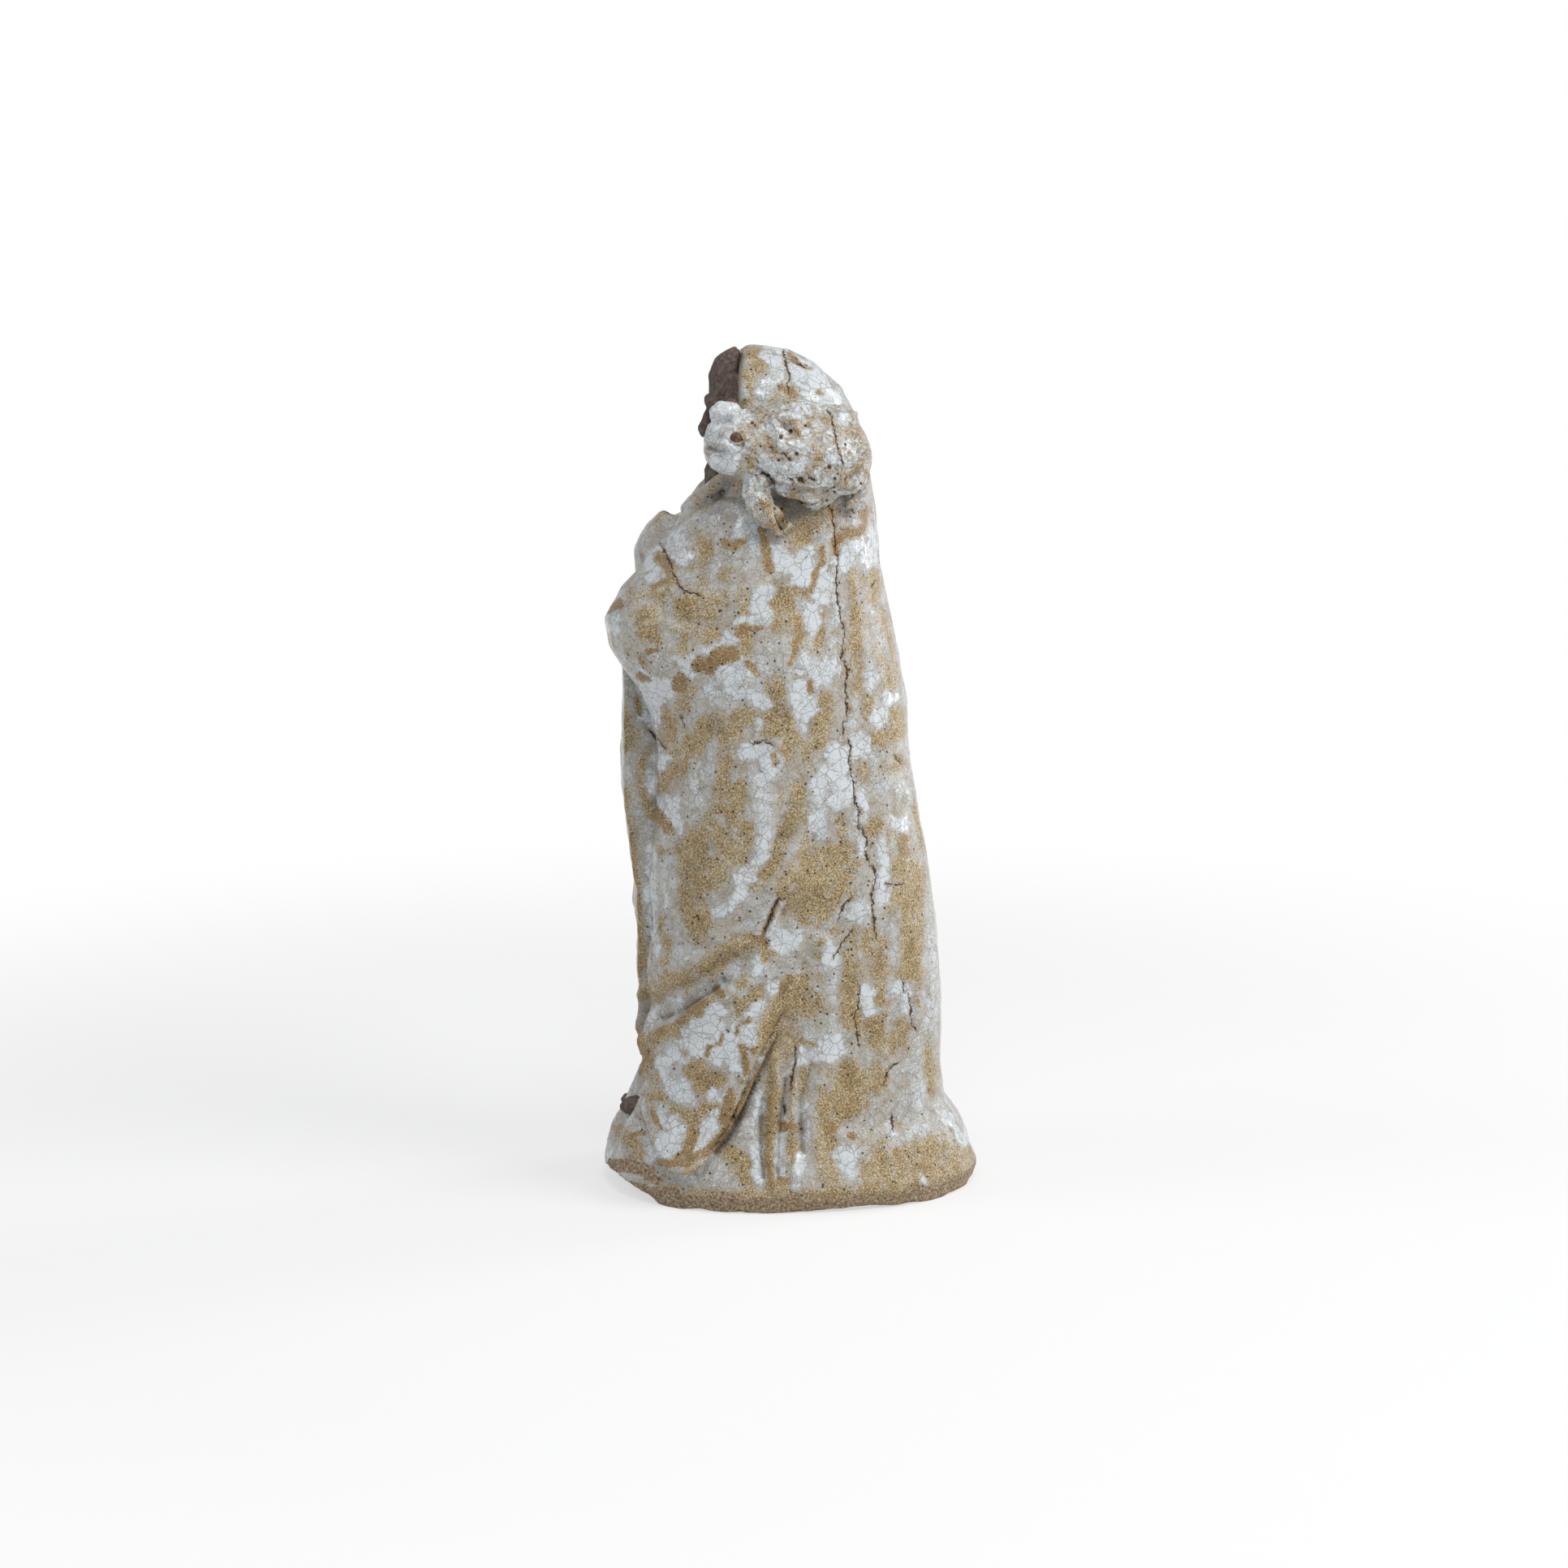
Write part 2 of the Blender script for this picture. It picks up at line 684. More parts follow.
def thin_out(piece: bpy.types.Object, where: np.ndarray, share: float) -> bpy.types.Object:
    """Keeps fewer faces where nobody looks closely.

    Args:
        piece: The piece to thin.
        where: True at the points that may go.
        share: The share of all faces to keep.

    Returns:
        A new piece in its place.
    """
    group = piece.vertex_groups.new(name="plain")
    group.add(np.flatnonzero(where).tolist(), 1.0, "REPLACE")
    thin = piece.modifiers.new("thin", "DECIMATE")
    thin.ratio = share
    thin.vertex_group = group.name
    graph = bpy.context.evaluated_depsgraph_get()
    mesh = bpy.data.meshes.new_from_object(piece.evaluated_get(graph))
    name = piece.name
    bpy.data.objects.remove(piece)
    mesh.name = name
    return add_piece(name, mesh)


def halve(
    piece: bpy.types.Object, names: tuple[str, str], place: Vector, across: Vector
) -> list[bpy.types.Object]:
    """Parts a piece in two closed pieces whose shading runs on over the cut.

    Args:
        piece: The piece to part.
        names: The name of the part on the side that across points to, then the other's.
        place: A point of the cut, in metres.
        across: The direction square to the cut.

    Returns:
        The two parts.
    """
    normals = ClaySkin(piece).normals()
    kept = piece.data.attributes.new("skin_normal", "FLOAT_VECTOR", "POINT")
    kept.data.foreach_set("vector", normals.astype(np.float32).ravel())
    parts = []
    for name, side in zip(names, (-1.0, 1.0)):
        clay = bmesh.new()
        clay.from_mesh(piece.data)
        whole = clay.verts[:] + clay.edges[:] + clay.faces[:]
        out = across * side
        cut = bmesh.ops.bisect_plane(clay, geom=whole, plane_co=place, plane_no=out, clear_outer=True)
        edges = [item for item in cut["geom_cut"] if isinstance(item, bmesh.types.BMEdge)]
        wall = bmesh.ops.triangle_fill(clay, edges=edges, use_beauty=True, normal=out)
        walls = [item for item in wall["geom"] if isinstance(item, bmesh.types.BMFace)]
        for face in walls:
            face.smooth = True
            if face.normal.dot(out) < 0:
                face.normal_flip()
        bmesh.ops.triangulate(clay, faces=[face for face in clay.faces if len(face.verts) > 4])
        clay.faces.index_update()
        hidden = {face.index for face in walls}
        mesh = bpy.data.meshes.new(name)
        clay.to_mesh(mesh)
        clay.free()
        corners = np.empty(len(mesh.loops), dtype=np.int64)
        mesh.loops.foreach_get("vertex_index", corners)
        smooth = np.empty(len(mesh.vertices) * 3, dtype=np.float32)
        mesh.attributes["skin_normal"].data.foreach_get("vector", smooth)
        shading = smooth.reshape(-1, 3)[corners]
        for index in hidden:
            flat = mesh.polygons[index]
            shading[list(flat.loop_indices)] = flat.normal
        mesh.attributes.remove(mesh.attributes["skin_normal"])
        parts.append(add_piece(name, mesh))
        mesh.normals_split_custom_set(shading.tolist())
    bpy.data.objects.remove(piece)
    return parts


def add_piece(name: str, mesh: bpy.types.Mesh) -> bpy.types.Object:
    """Puts a mesh in the scene with smooth shading.

    Args:
        name: The piece's name.
        mesh: Its mesh.

    Returns:
        The piece.
    """
    piece = bpy.data.objects.new(name, mesh)
    bpy.context.scene.collection.objects.link(piece)
    mesh.polygons.foreach_set("use_smooth", [True] * len(mesh.polygons))
    return piece


def dress(
    piece: bpy.types.Object, material: bpy.types.Material, slot: Slot, nodes: Sequence[str] = ()
) -> None:
    """Finishes a piece and ties it to the frame.

    Args:
        piece: The new piece.
        material: Its finish.
        slot: The record's slot for that finish.
        nodes: The CAD nodes that it stands for.
    """
    piece.data.materials.clear()
    piece.data.materials.append(material)
    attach(piece, ROOT)
    if nodes:
        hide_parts(*nodes)
    LOG.info("%s: %d faces, %s", piece.name, len(piece.data.polygons), slot.value)


# Soft pale washes: radius, then the points that the brush passes.
VEILS: Strokes = (
    (60, (640, 150), (690, 230)), (35, (330, 560), (390, 530)), (30, (400, 615), (490, 620)),
    (26, (480, 890), (500, 940)), (18, (370, 920)), (24, (240, 840), (290, 860)),
    (24, (560, 840), (565, 865)), (30, (680, 640), (670, 700)), (25, (700, 820), (690, 860)),
    (25, (830, 1170), (860, 1190)), (14, (830, 1210), (830, 1230)), (30, (370, 940), (440, 950)),
    (14, (370, 1000), (320, 1050), (305, 1085)), (12, (235, 1060)), (14, (255, 1303), (297, 1300)),
    (20, (350, 1180), (345, 1260)), (14, (395, 1050), (375, 1130), (358, 1200)),
    (30, (500, 1160), (510, 1200), (500, 1230)),
    (15, (590, 1340), (560, 1400), (530, 1450), (505, 1500), (495, 1530)),
    (18, (285, 1360), (285, 1440), (275, 1500), (300, 1540)), (26, (330, 1560), (300, 1620), (330, 1640)),
    (20, (480, 1540), (540, 1525)), (14, (350, 1420), (380, 1440)), (20, (620, 1540), (660, 1520)),
    (18, (450, 1630), (480, 1610)), (12, (540, 1640), (600, 1632)),
    (22, (420, 1670), (340, 1710), (250, 1760)), (16, (710, 1450), (735, 1490)),
    (16, (870, 1450), (850, 1520), (840, 1570)), (24, (690, 1580), (695, 1640)), (18, (650, 1520)),
    (18, (720, 1770)), (18, (700, 1700)), (18, (830, 1740), (820, 1780)),
    (18, (930, 1700), (925, 1780), (920, 1830)), (14, (480, 2070), (490, 2000)),
    (14, (650, 1900), (630, 1970), (635, 2040), (625, 2090)), (12, (595, 1850), (585, 1950), (580, 2000)),
    (24, (300, 2140), (400, 2135), (440, 2165)), (34, (190, 1960), (170, 2050), (235, 2060)),
    (15, (785, 1960), (750, 1985), (770, 1990)), (44, (900, 1900), (875, 1980), (900, 2020)),
    (15, (700, 2030), (730, 2050)), (22, (925, 1300), (938, 1450), (945, 1600), (948, 1700)),
    (16, (905, 1050), (915, 1200)), (18, (820, 2020)), (12, (820, 1870)), (14, (190, 1110), (195, 1140)),
    (13, (190, 1172), (195, 1205)), (20, (790, 960), (790, 860)),
)
# Broad thin washes that let the warm clay through: radius and line.
THINS: Strokes = (
    (46, (390, 560), (300, 650), (220, 730)), (50, (440, 650), (350, 750), (250, 830)),
    (44, (520, 700), (420, 790)), (40, (330, 830), (440, 770), (540, 700)), (34, (360, 1000), (300, 1110)),
    (40, (620, 700), (600, 800)), (44, (420, 1240), (380, 1380)), (50, (620, 1300), (580, 1450)),
    (44, (700, 1560), (780, 1720)), (44, (560, 1660), (650, 1600)), (40, (560, 1840), (540, 2000)),
    (46, (700, 1840), (760, 1920)), (50, (700, 2080), (900, 2080)), (30, (840, 1250), (860, 1500)),
)
# Soft sandy places where the glaze is thin: radius and line.
SANDS: Strokes = (
    (19, (473, 98), (505, 112), (524, 134)), (15, (500, 140), (486, 170), (478, 225)),
    (8, (652, 206), (664, 210)), (7, (686, 196), (690, 208)), (18, (365, 620), (378, 600)),
    (13, (365, 560), (370, 580)), (30, (320, 730), (385, 740)), (24, (230, 770), (235, 800)),
    (26, (570, 720), (560, 770)), (16, (480, 815), (480, 840)), (14, (340, 940), (330, 975)),
    (26, (550, 935), (545, 990), (550, 1040)), (9, (605, 660), (610, 695)),
    (25, (680, 500), (640, 530), (610, 560)), (8, (742, 615), (738, 650), (745, 700), (748, 740)),
    (19, (750, 760), (750, 850), (755, 940)), (13, (775, 665), (795, 655), (800, 680), (787, 715)),
    (8, (815, 750), (818, 780)), (8, (825, 800), (838, 840)), (17, (828, 875), (835, 900), (830, 930)),
    (12, (655, 750), (658, 800), (655, 840)), (20, (670, 970), (660, 1030), (660, 1070)),
    (13, (785, 945), (780, 1005)), (20, (845, 1000), (850, 1040), (820, 1060), (790, 1062)),
    (20, (580, 1010), (590, 1060), (572, 1090)), (17, (612, 1190), (600, 1240), (570, 1290), (555, 1345)),
    (13, (640, 1250), (630, 1290), (618, 1330), (610, 1385)), (14, (715, 1260), (720, 1320)),
    (34, (690, 1345), (755, 1345), (700, 1400), (640, 1430)), (8, (762, 1110), (768, 1160)),
    (12, (785, 1287), (805, 1272)), (30, (865, 1385), (900, 1395), (890, 1440), (850, 1460)),
    (6, (890, 1230), (910, 1300), (915, 1350)), (20, (275, 1000), (300, 1020), (290, 1060)),
    (12, (240, 1080), (225, 1120)), (27, (375, 1035), (330, 1090), (300, 1130), (275, 1175)),
    (21, (480, 1005), (440, 1025)), (18, (430, 1050), (430, 1110), (425, 1160), (410, 1180)),
    (8, (220, 1140), (228, 1200), (242, 1245)), (34, (350, 1310), (345, 1360), (350, 1420)),
    (10, (245, 1340), (300, 1332)), (30, (450, 1190), (430, 1240), (400, 1290), (440, 1340), (400, 1400)),
    (18, (480, 1290), (470, 1345)), (17, (560, 1345), (530, 1390), (500, 1420)),
    (28, (350, 1400), (340, 1460), (370, 1510), (362, 1540)), (9, (268, 1500), (270, 1540)),
    (14, (280, 1560), (275, 1600)),
    (22, (480, 1560), (430, 1585), (380, 1625), (330, 1652), (280, 1665), (250, 1690)),
    (14, (460, 1720), (500, 1692), (520, 1670)), (17, (222, 1805), (260, 1792), (310, 1778)),
    (18, (225, 1830), (235, 1860)), (34, (560, 1720), (540, 1780), (575, 1825)),
    (38, (620, 1385), (600, 1450), (640, 1480), (700, 1430)), (24, (882, 1470), (886, 1550), (876, 1640)),
    (30, (790, 1560), (800, 1630)), (22, (745, 1630), (740, 1760)), (24, (800, 1690), (800, 1800)),
    (22, (860, 1770), (840, 1815)), (28, (350, 1870), (385, 1905), (420, 1900)),
    (18, (262, 1945), (290, 1970), (330, 1985)), (12, (375, 1975), (405, 1968)), (12, (350, 2005)),
    (12, (540, 1900), (545, 2000), (535, 2100), (540, 2170)), (8, (622, 1880), (618, 1920)),
    (8, (602, 2075), (598, 2100)), (20, (440, 2085), (480, 2100), (485, 2140)),
    (16, (165, 2025), (210, 2080)), (26, (300, 2190), (400, 2205), (560, 2190), (750, 2190)),
    (30, (740, 2190), (880, 2170), (1000, 2115), (1035, 2060)), (38, (720, 1905), (790, 1900)),
    (26, (680, 1990), (668, 2080), (680, 2140)), (40, (800, 2120), (880, 2110), (950, 2070)),
    (6, (925, 1800), (925, 1890)), (6, (940, 1850), (942, 1930)), (16, (850, 1120), (845, 1130)),
    (30, (600, 1680), (640, 1720)), (40, (700, 1960), (740, 1950)), (22, (560, 1560), (520, 1590)),
    (16, (176, 1200), (186, 1300), (196, 1400), (205, 1500), (213, 1620)), (12, (170, 1010), (176, 1080)),
)
# Thick pale glaze with crisp edges: radius and line.
POOLS: Strokes = (
    (20, (560, 150), (537, 180), (520, 205)), (9, (516, 116), (528, 124)), (10, (530, 92), (575, 100)),
    (6, (470, 178), (472, 215)), (30, (620, 150), (690, 235)), (15, (260, 588), (244, 622)),
    (22, (248, 650), (264, 662)), (25, (302, 580), (322, 606)), (27, (492, 522), (502, 560)),
    (16, (470, 555)), (29, (545, 605), (575, 618)), (22, (518, 705), (508, 732)),
    (16, (466, 770), (528, 762)), (9, (168, 702), (165, 718)), (12, (142, 765), (153, 790)),
    (13, (428, 815), (455, 810)), (11, (382, 840), (402, 830)), (20, (326, 872), (342, 885)),
    (8, (338, 905)), (27, (416, 905), (438, 905)), (18, (468, 875), (480, 900)),
    (31, (250, 930), (272, 940), (244, 962)), (14, (604, 885), (620, 882)), (26, (620, 612), (626, 660)),
    (20, (652, 645), (662, 700)), (19, (640, 752), (640, 790)), (27, (728, 585), (716, 620)),
    (7, (742, 500), (742, 528)), (22, (786, 560), (788, 620)), (26, (622, 880), (682, 892)),
    (29, (606, 945), (620, 985)), (13, (612, 1030)), (14, (785, 910), (780, 930)),
    (17, (830, 955), (816, 990), (802, 1018)), (20, (748, 1060), (766, 1065), (752, 1090)),
    (25, (692, 1100), (720, 1110), (702, 1140)), (28, (672, 1165), (718, 1172), (710, 1208)),
    (12, (765, 1205), (756, 1240)), (18, (848, 1270), (868, 1276)), (18, (656, 1267), (670, 1290)),
    (9, (765, 1312), (768, 1335)), (12, (812, 1330), (820, 1375), (814, 1410), (816, 1462)),
    (17, (226, 1005), (248, 1012)), (17, (258, 1110), (268, 1115)), (12, (245, 1152), (250, 1180)),
    (18, (278, 1212), (302, 1245), (314, 1278)), (24, (474, 1090), (520, 1092), (540, 1118)),
    (9, (510, 1022), (505, 1050)), (19, (482, 950), (520, 972)),
    (15, (536, 1290), (520, 1330), (500, 1370), (472, 1402), (466, 1440), (432, 1478), (412, 1488)),
    (11, (244, 1340), (247, 1450), (247, 1530)), (8, (254, 1550), (262, 1594)),
    (6, (565, 1462), (553, 1500), (535, 1545)), (25, (560, 1562), (596, 1552)),
    (16, (505, 1617), (502, 1645)), (16, (540, 1667), (547, 1677)),
    (13, (428, 1692), (470, 1682), (498, 1662)), (6, (432, 1660), (420, 1672)),
    (21, (394, 1732), (410, 1727)), (12, (512, 1718), (490, 1740), (452, 1756)),
    (42, (345, 1800), (400, 1790), (420, 1830), (458, 1795), (470, 1850)), (15, (300, 1840), (320, 1850)),
    (17, (690, 1585), (682, 1602)), (14, (775, 1682), (779, 1730)), (13, (848, 1672), (868, 1667)),
    (11, (876, 1702), (872, 1728)), (18, (750, 1498), (768, 1482)),
    (26, (622, 1842), (670, 1832), (690, 1812)), (9, (628, 1790)),
    (25, (276, 1870), (290, 1910), (320, 1942)), (13, (402, 1936), (424, 1944), (430, 1960)),
    (14, (410, 1988), (396, 2010)), (26, (280, 1992), (288, 2030), (276, 2068), (300, 2078)),
    (13, (384, 2022), (366, 2060)), (10, (456, 1958), (474, 1922), (494, 1892)),
    (18, (500, 1932), (506, 1968)), (13, (560, 2045), (566, 2138)), (13, (612, 2085), (600, 2160)),
    (10, (500, 2075), (506, 2145)), (22, (716, 2082), (732, 2085), (726, 2110)),
    (12, (730, 2115), (732, 2142)), (14, (968, 1985), (998, 2030), (1022, 2052)), (5, (915, 2152)),
)
# Bare ochre and rusty places with crisp edges: radius and line.
OCHRES: Strokes = (
    (11, (566, 196), (586, 204), (594, 218)), (6, (536, 228), (558, 214)), (6, (588, 112), (596, 130)),
    (3, (600, 132), (636, 150)), (4, (655, 206), (664, 210)), (13, (266, 614), (284, 634)),
    (9, (285, 645), (298, 670)), (7, (426, 580), (445, 588), (474, 573)),
    (12, (524, 555), (528, 600), (534, 638)), (7, (250, 686), (290, 669)), (10, (140, 738), (164, 726)),
    (5, (456, 790), (514, 787)), (12, (462, 802), (474, 790)),
    (19, (440, 850), (406, 861), (386, 884), (368, 881)), (15, (316, 912), (312, 930)),
    (6, (236, 845), (262, 840)), (5, (215, 856), (224, 872)), (6, (212, 905), (238, 914)),
    (6, (480, 873), (495, 886), (507, 900)),
    (7, (603, 762), (608, 790), (618, 802), (601, 830), (598, 852), (588, 875)),
    (6, (668, 590), (667, 622), (650, 650), (640, 694)),
    (12, (766, 492), (770, 522), (764, 548), (722, 554), (706, 574)), (9, (697, 572), (700, 600)),
    (6, (635, 922), (637, 944)), (5, (735, 985)), (6, (548, 1102), (553, 1120)),
    (11, (866, 1307), (870, 1343)), (13, (252, 1243), (274, 1266), (296, 1288)),
    (7, (210, 962), (215, 994)), (10, (506, 1552), (524, 1564)), (7, (525, 1605)),
    (11, (346, 1727), (368, 1712), (364, 1734)), (8, (405, 1680), (420, 1690)),
    (5, (420, 1790), (415, 1810), (386, 1821), (382, 1838)), (5, (455, 1788), (456, 1770), (488, 1752)),
    (8, (470, 1824), (474, 1850), (478, 1880)), (4, (476, 1822), (500, 1830)),
    (5, (562, 1690), (572, 1662), (590, 1652)), (6, (246, 1975), (270, 2025)),
    (13, (440, 1934), (435, 1960), (426, 1992)), (12, (350, 2034), (334, 2070), (326, 2088), (312, 2092)),
    (8, (268, 2104), (330, 2110), (398, 2068), (448, 2000), (482, 1928), (512, 1876)),
    (4, (196, 2037), (224, 2032)), (10, (742, 2042)), (13, (570, 2015), (590, 2018)),
    (10, (685, 2050), (690, 2020)), (9, (562, 2150), (580, 2152)), (7, (852, 2080)),
    (5, (600, 1812), (612, 1806), (650, 1815)), (6, (222, 1880), (235, 1830)),
    (5, (555, 1470), (540, 1500), (520, 1540)),
)
# Broken clay and the raw foot: radius and line.
RAW: Strokes = (
    (17, (150, 2112), (200, 2112), (238, 2128)), (11, (236, 2140), (262, 2150)),
    (8, (275, 2180), (330, 2212), (400, 2226)),
)
# Cracks, as thin dark lines.
CRACKS: Strokes = (
    ((567, 97), (575, 115), (577, 140), (588, 160), (583, 180), (582, 215)),
    ((672, 470), (690, 495), (697, 545), (697, 590), (705, 625), (701, 670), (704, 720), (711, 755),
        (723, 795), (714, 860), (731, 890), (724, 935), (730, 1012)), ((722, 1012), (717, 1058)),
    ((727, 1055), (735, 1080), (732, 1120), (743, 1170), (746, 1215), (757, 1230), (755, 1270),
        (757, 1292)),
    ((765, 1275), (775, 1310), (773, 1345), (785, 1370), (797, 1385), (797, 1400), (787, 1450), (793, 1500),
        (798, 1558)), ((760, 1665), (755, 1700), (748, 1740), (752, 1780), (761, 1828)),
    ((865, 1650), (868, 1692)), ((876, 1685), (885, 1720), (885, 1760), (900, 1786)),
    ((263, 572), (278, 600), (295, 635), (300, 655), (312, 680), (325, 695), (350, 703), (370, 707)),
    ((742, 1448), (715, 1475), (712, 1490), (703, 1517)), ((746, 1528), (715, 1565), (690, 1607)),
    ((602, 1812), (598, 1850), (593, 1890), (589, 1932)), ((572, 1958), (575, 1992)),
    ((484, 1062), (495, 1072), (525, 1068), (553, 1078)), ((238, 1034), (270, 1075), (285, 1090)),
    ((315, 998), (329, 1037)), ((838, 1098), (866, 1126)), ((838, 1978), (838, 2000), (843, 2032)),
    ((858, 1855), (836, 1870), (825, 1892), (814, 1922)), ((815, 1415), (845, 1420), (872, 1418)),
    ((519, 1542), (540, 1500), (552, 1462), (562, 1455), (572, 1461)), ((784, 690), (800, 668)),
    ((596, 130), (632, 150)),
)
# Folds: height in millimetres, radius and line; a negative height is a furrow.
FOLDS: Strokes = (
    (-2.0, 10, (400, 2075), (440, 2030), (468, 1975), (492, 1920), (512, 1870), (538, 1815), (572, 1745)),
    (1.1, 12, (350, 2085), (392, 2045), (430, 1990), (458, 1930), (484, 1870), (508, 1815)),
    (-1.0, 6, (448, 2000), (470, 1950), (488, 1905), (508, 1865)),
    (0.5, 9, (250, 2060), (275, 2098), (312, 2104), (352, 2088)),
    (1.3, 12, (548, 1850), (540, 1960), (536, 2080), (545, 2170)),
    (-1.2, 9, (516, 1950), (512, 2060), (520, 2140)), (-1.3, 8, (578, 1900), (562, 2000), (556, 2140)),
    (1.0, 9, (606, 1830), (588, 1940), (590, 2080), (600, 2150)),
    (-1.0, 8, (640, 1860), (612, 1950), (618, 2080)), (0.8, 12, (668, 1880), (645, 1980), (650, 2090)),
    (-2.7, 13, (262, 1742), (320, 1722), (372, 1688), (420, 1656)),
    (0.9, 10, (262, 1782), (322, 1757), (372, 1722), (436, 1678)),
    (1.9, 19, (222, 1808), (262, 1800), (322, 1764), (372, 1730), (440, 1690), (520, 1640), (600, 1590),
        (660, 1560)),
    (1.4, 20, (225, 1690), (270, 1672), (340, 1640), (410, 1592), (480, 1558), (560, 1520)),
    (-0.9, 16, (268, 1500), (290, 1560), (340, 1575), (400, 1560), (440, 1520), (470, 1470)),
    (-0.4, 12, (395, 1570), (396, 1571)),
    (1.0, 18, (440, 1440), (470, 1390), (505, 1330), (530, 1280), (545, 1220)),
    (-0.9, 16, (480, 1440), (530, 1370), (560, 1300), (585, 1220)),
    (0.9, 15, (500, 1520), (545, 1440), (585, 1370), (610, 1290), (640, 1220)),
    (-0.7, 15, (560, 1520), (610, 1400), (650, 1300)), (-1.2, 13, (262, 1218), (285, 1250), (306, 1285)),
    (0.9, 13, (240, 1325), (300, 1306), (350, 1270), (390, 1215), (410, 1140)),
    (-0.9, 15, (318, 1250), (345, 1190), (372, 1110), (392, 1040)),
    (0.9, 14, (222, 1036), (262, 1020), (310, 985), (350, 950)),
    (0.6, 10, (288, 1080), (262, 1130), (252, 1180)), (-0.6, 12, (330, 1060), (300, 1120), (280, 1180)),
    (0.5, 22, (600, 1540), (700, 1560), (800, 1640)), (-0.5, 22, (640, 1640), (720, 1700), (780, 1800)),
    (0.6, 8, (534, 1545), (552, 1505), (570, 1465)), (-0.4, 26, (720, 700), (740, 900), (760, 1100)),
    (0.6, 24, (330, 700), (420, 720), (520, 700)), (-0.6, 20, (250, 720), (330, 770), (420, 800)),
    (0.5, 22, (300, 860), (420, 870), (540, 820)),
)
# Small bubbles and holes: radius and place.
PITS: Strokes = (
    (3, (478, 1363)), (4, (357, 1497)), (4, (360, 1505)), (3, (447, 1240)), (2, (410, 1312)),
    (2, (462, 1507)), (2, (310, 1435)), (2, (279, 1502)), (3, (636, 1552)), (2, (690, 1340)),
    (3, (700, 1368)), (2, (338, 1808)), (2, (395, 1767)), (2, (332, 1792)), (3, (300, 1875)),
    (2, (452, 1830)), (2, (398, 1830)), (3, (470, 1240)), (3, (248, 1505)), (2, (605, 1525)),
    (2, (650, 1745)), (2, (672, 1755)), (3, (532, 1810)), (2, (404, 2148)), (2, (440, 2045)),
    (2, (330, 2010)), (3, (460, 2190)), (2, (700, 470)), (2, (655, 490)), (3, (424, 530)), (2, (606, 562)),
)
# Edges that the glaze has rounded off: radius and line.
MELTS: Strokes = (
    (15, (560, 1750), (530, 1830), (505, 1890), (475, 1950), (432, 2030), (380, 2085), (320, 2110),
        (262, 2100)), (9, (231, 1340), (236, 1440), (240, 1540)),
)
# The toad's brows, bulges and skin folds: height in millimetres, radius and line.
TOAD_FOLDS: Strokes = (
    (1.5, 20, (388, 246), (396, 230)), (1.0, 13, (400, 232), (425, 226), (455, 232)),
    (-0.4, 7, (400, 246), (425, 250), (448, 252)), (0.6, 8, (410, 262), (440, 262), (470, 256)),
    (-0.7, 16, (425, 280), (450, 285)), (0.9, 14, (398, 300), (415, 300)),
    (-0.3, 7, (390, 318), (415, 318), (432, 322)), (0.8, 9, (388, 328), (410, 334), (430, 338)),
    (-0.8, 5, (384, 344), (400, 350), (422, 354), (432, 350)), (0.8, 7, (386, 356), (398, 372), (412, 382)),
    (0.7, 18, (440, 372)), (-0.8, 15, (486, 250), (484, 300), (474, 350), (470, 385)),
    (1.0, 10, (436, 300), (452, 294), (468, 300), (474, 316)),
    (-0.8, 9, (440, 330), (455, 336), (470, 330)), (1.2, 12, (545, 272), (556, 300), (560, 330)),
    (-1.3, 6, (538, 266), (560, 278), (575, 292), (590, 302)), (0.9, 8, (575, 275), (595, 285), (605, 305)),
    (1.0, 12, (560, 236), (590, 236), (620, 240)), (0.8, 10, (640, 244), (672, 250)),
    (-0.7, 8, (610, 255), (640, 262), (668, 268)), (0.8, 9, (720, 262), (742, 278)),
    (-0.8, 6, (715, 280), (735, 284), (755, 292)), (0.8, 8, (735, 300), (760, 308)),
    (-0.7, 6, (730, 316), (752, 322), (772, 330)), (0.6, 7, (748, 336), (772, 345)),
    (-0.6, 4, (776, 352), (752, 380), (728, 404)), (0.5, 4, (778, 362), (756, 388), (734, 410)),
    (-0.6, 4, (778, 374), (756, 398), (736, 418)), (-0.5, 4, (764, 345), (742, 368), (724, 392)),
    (-0.5, 3, (768, 392), (750, 410), (734, 426)),
    (-0.9, 6, (560, 438), (600, 448), (640, 452), (676, 448)), (0.9, 9, (560, 450), (610, 462), (650, 462)),
    (1.4, 13, (628, 474), (652, 474)), (-1.0, 5, (612, 474), (618, 484)),
    (-1.2, 7, (508, 400), (528, 412), (546, 432)), (0.9, 9, (515, 418), (528, 424)),
    (-0.8, 7, (500, 448), (520, 452), (540, 450)), (0.7, 10, (505, 472), (530, 478)),
    (-1.4, 4, (553, 512), (560, 530), (566, 545)), (0.7, 6, (530, 500), (545, 535), (551, 555)),
    (0.7, 6, (555, 492), (568, 515), (577, 532)),
)
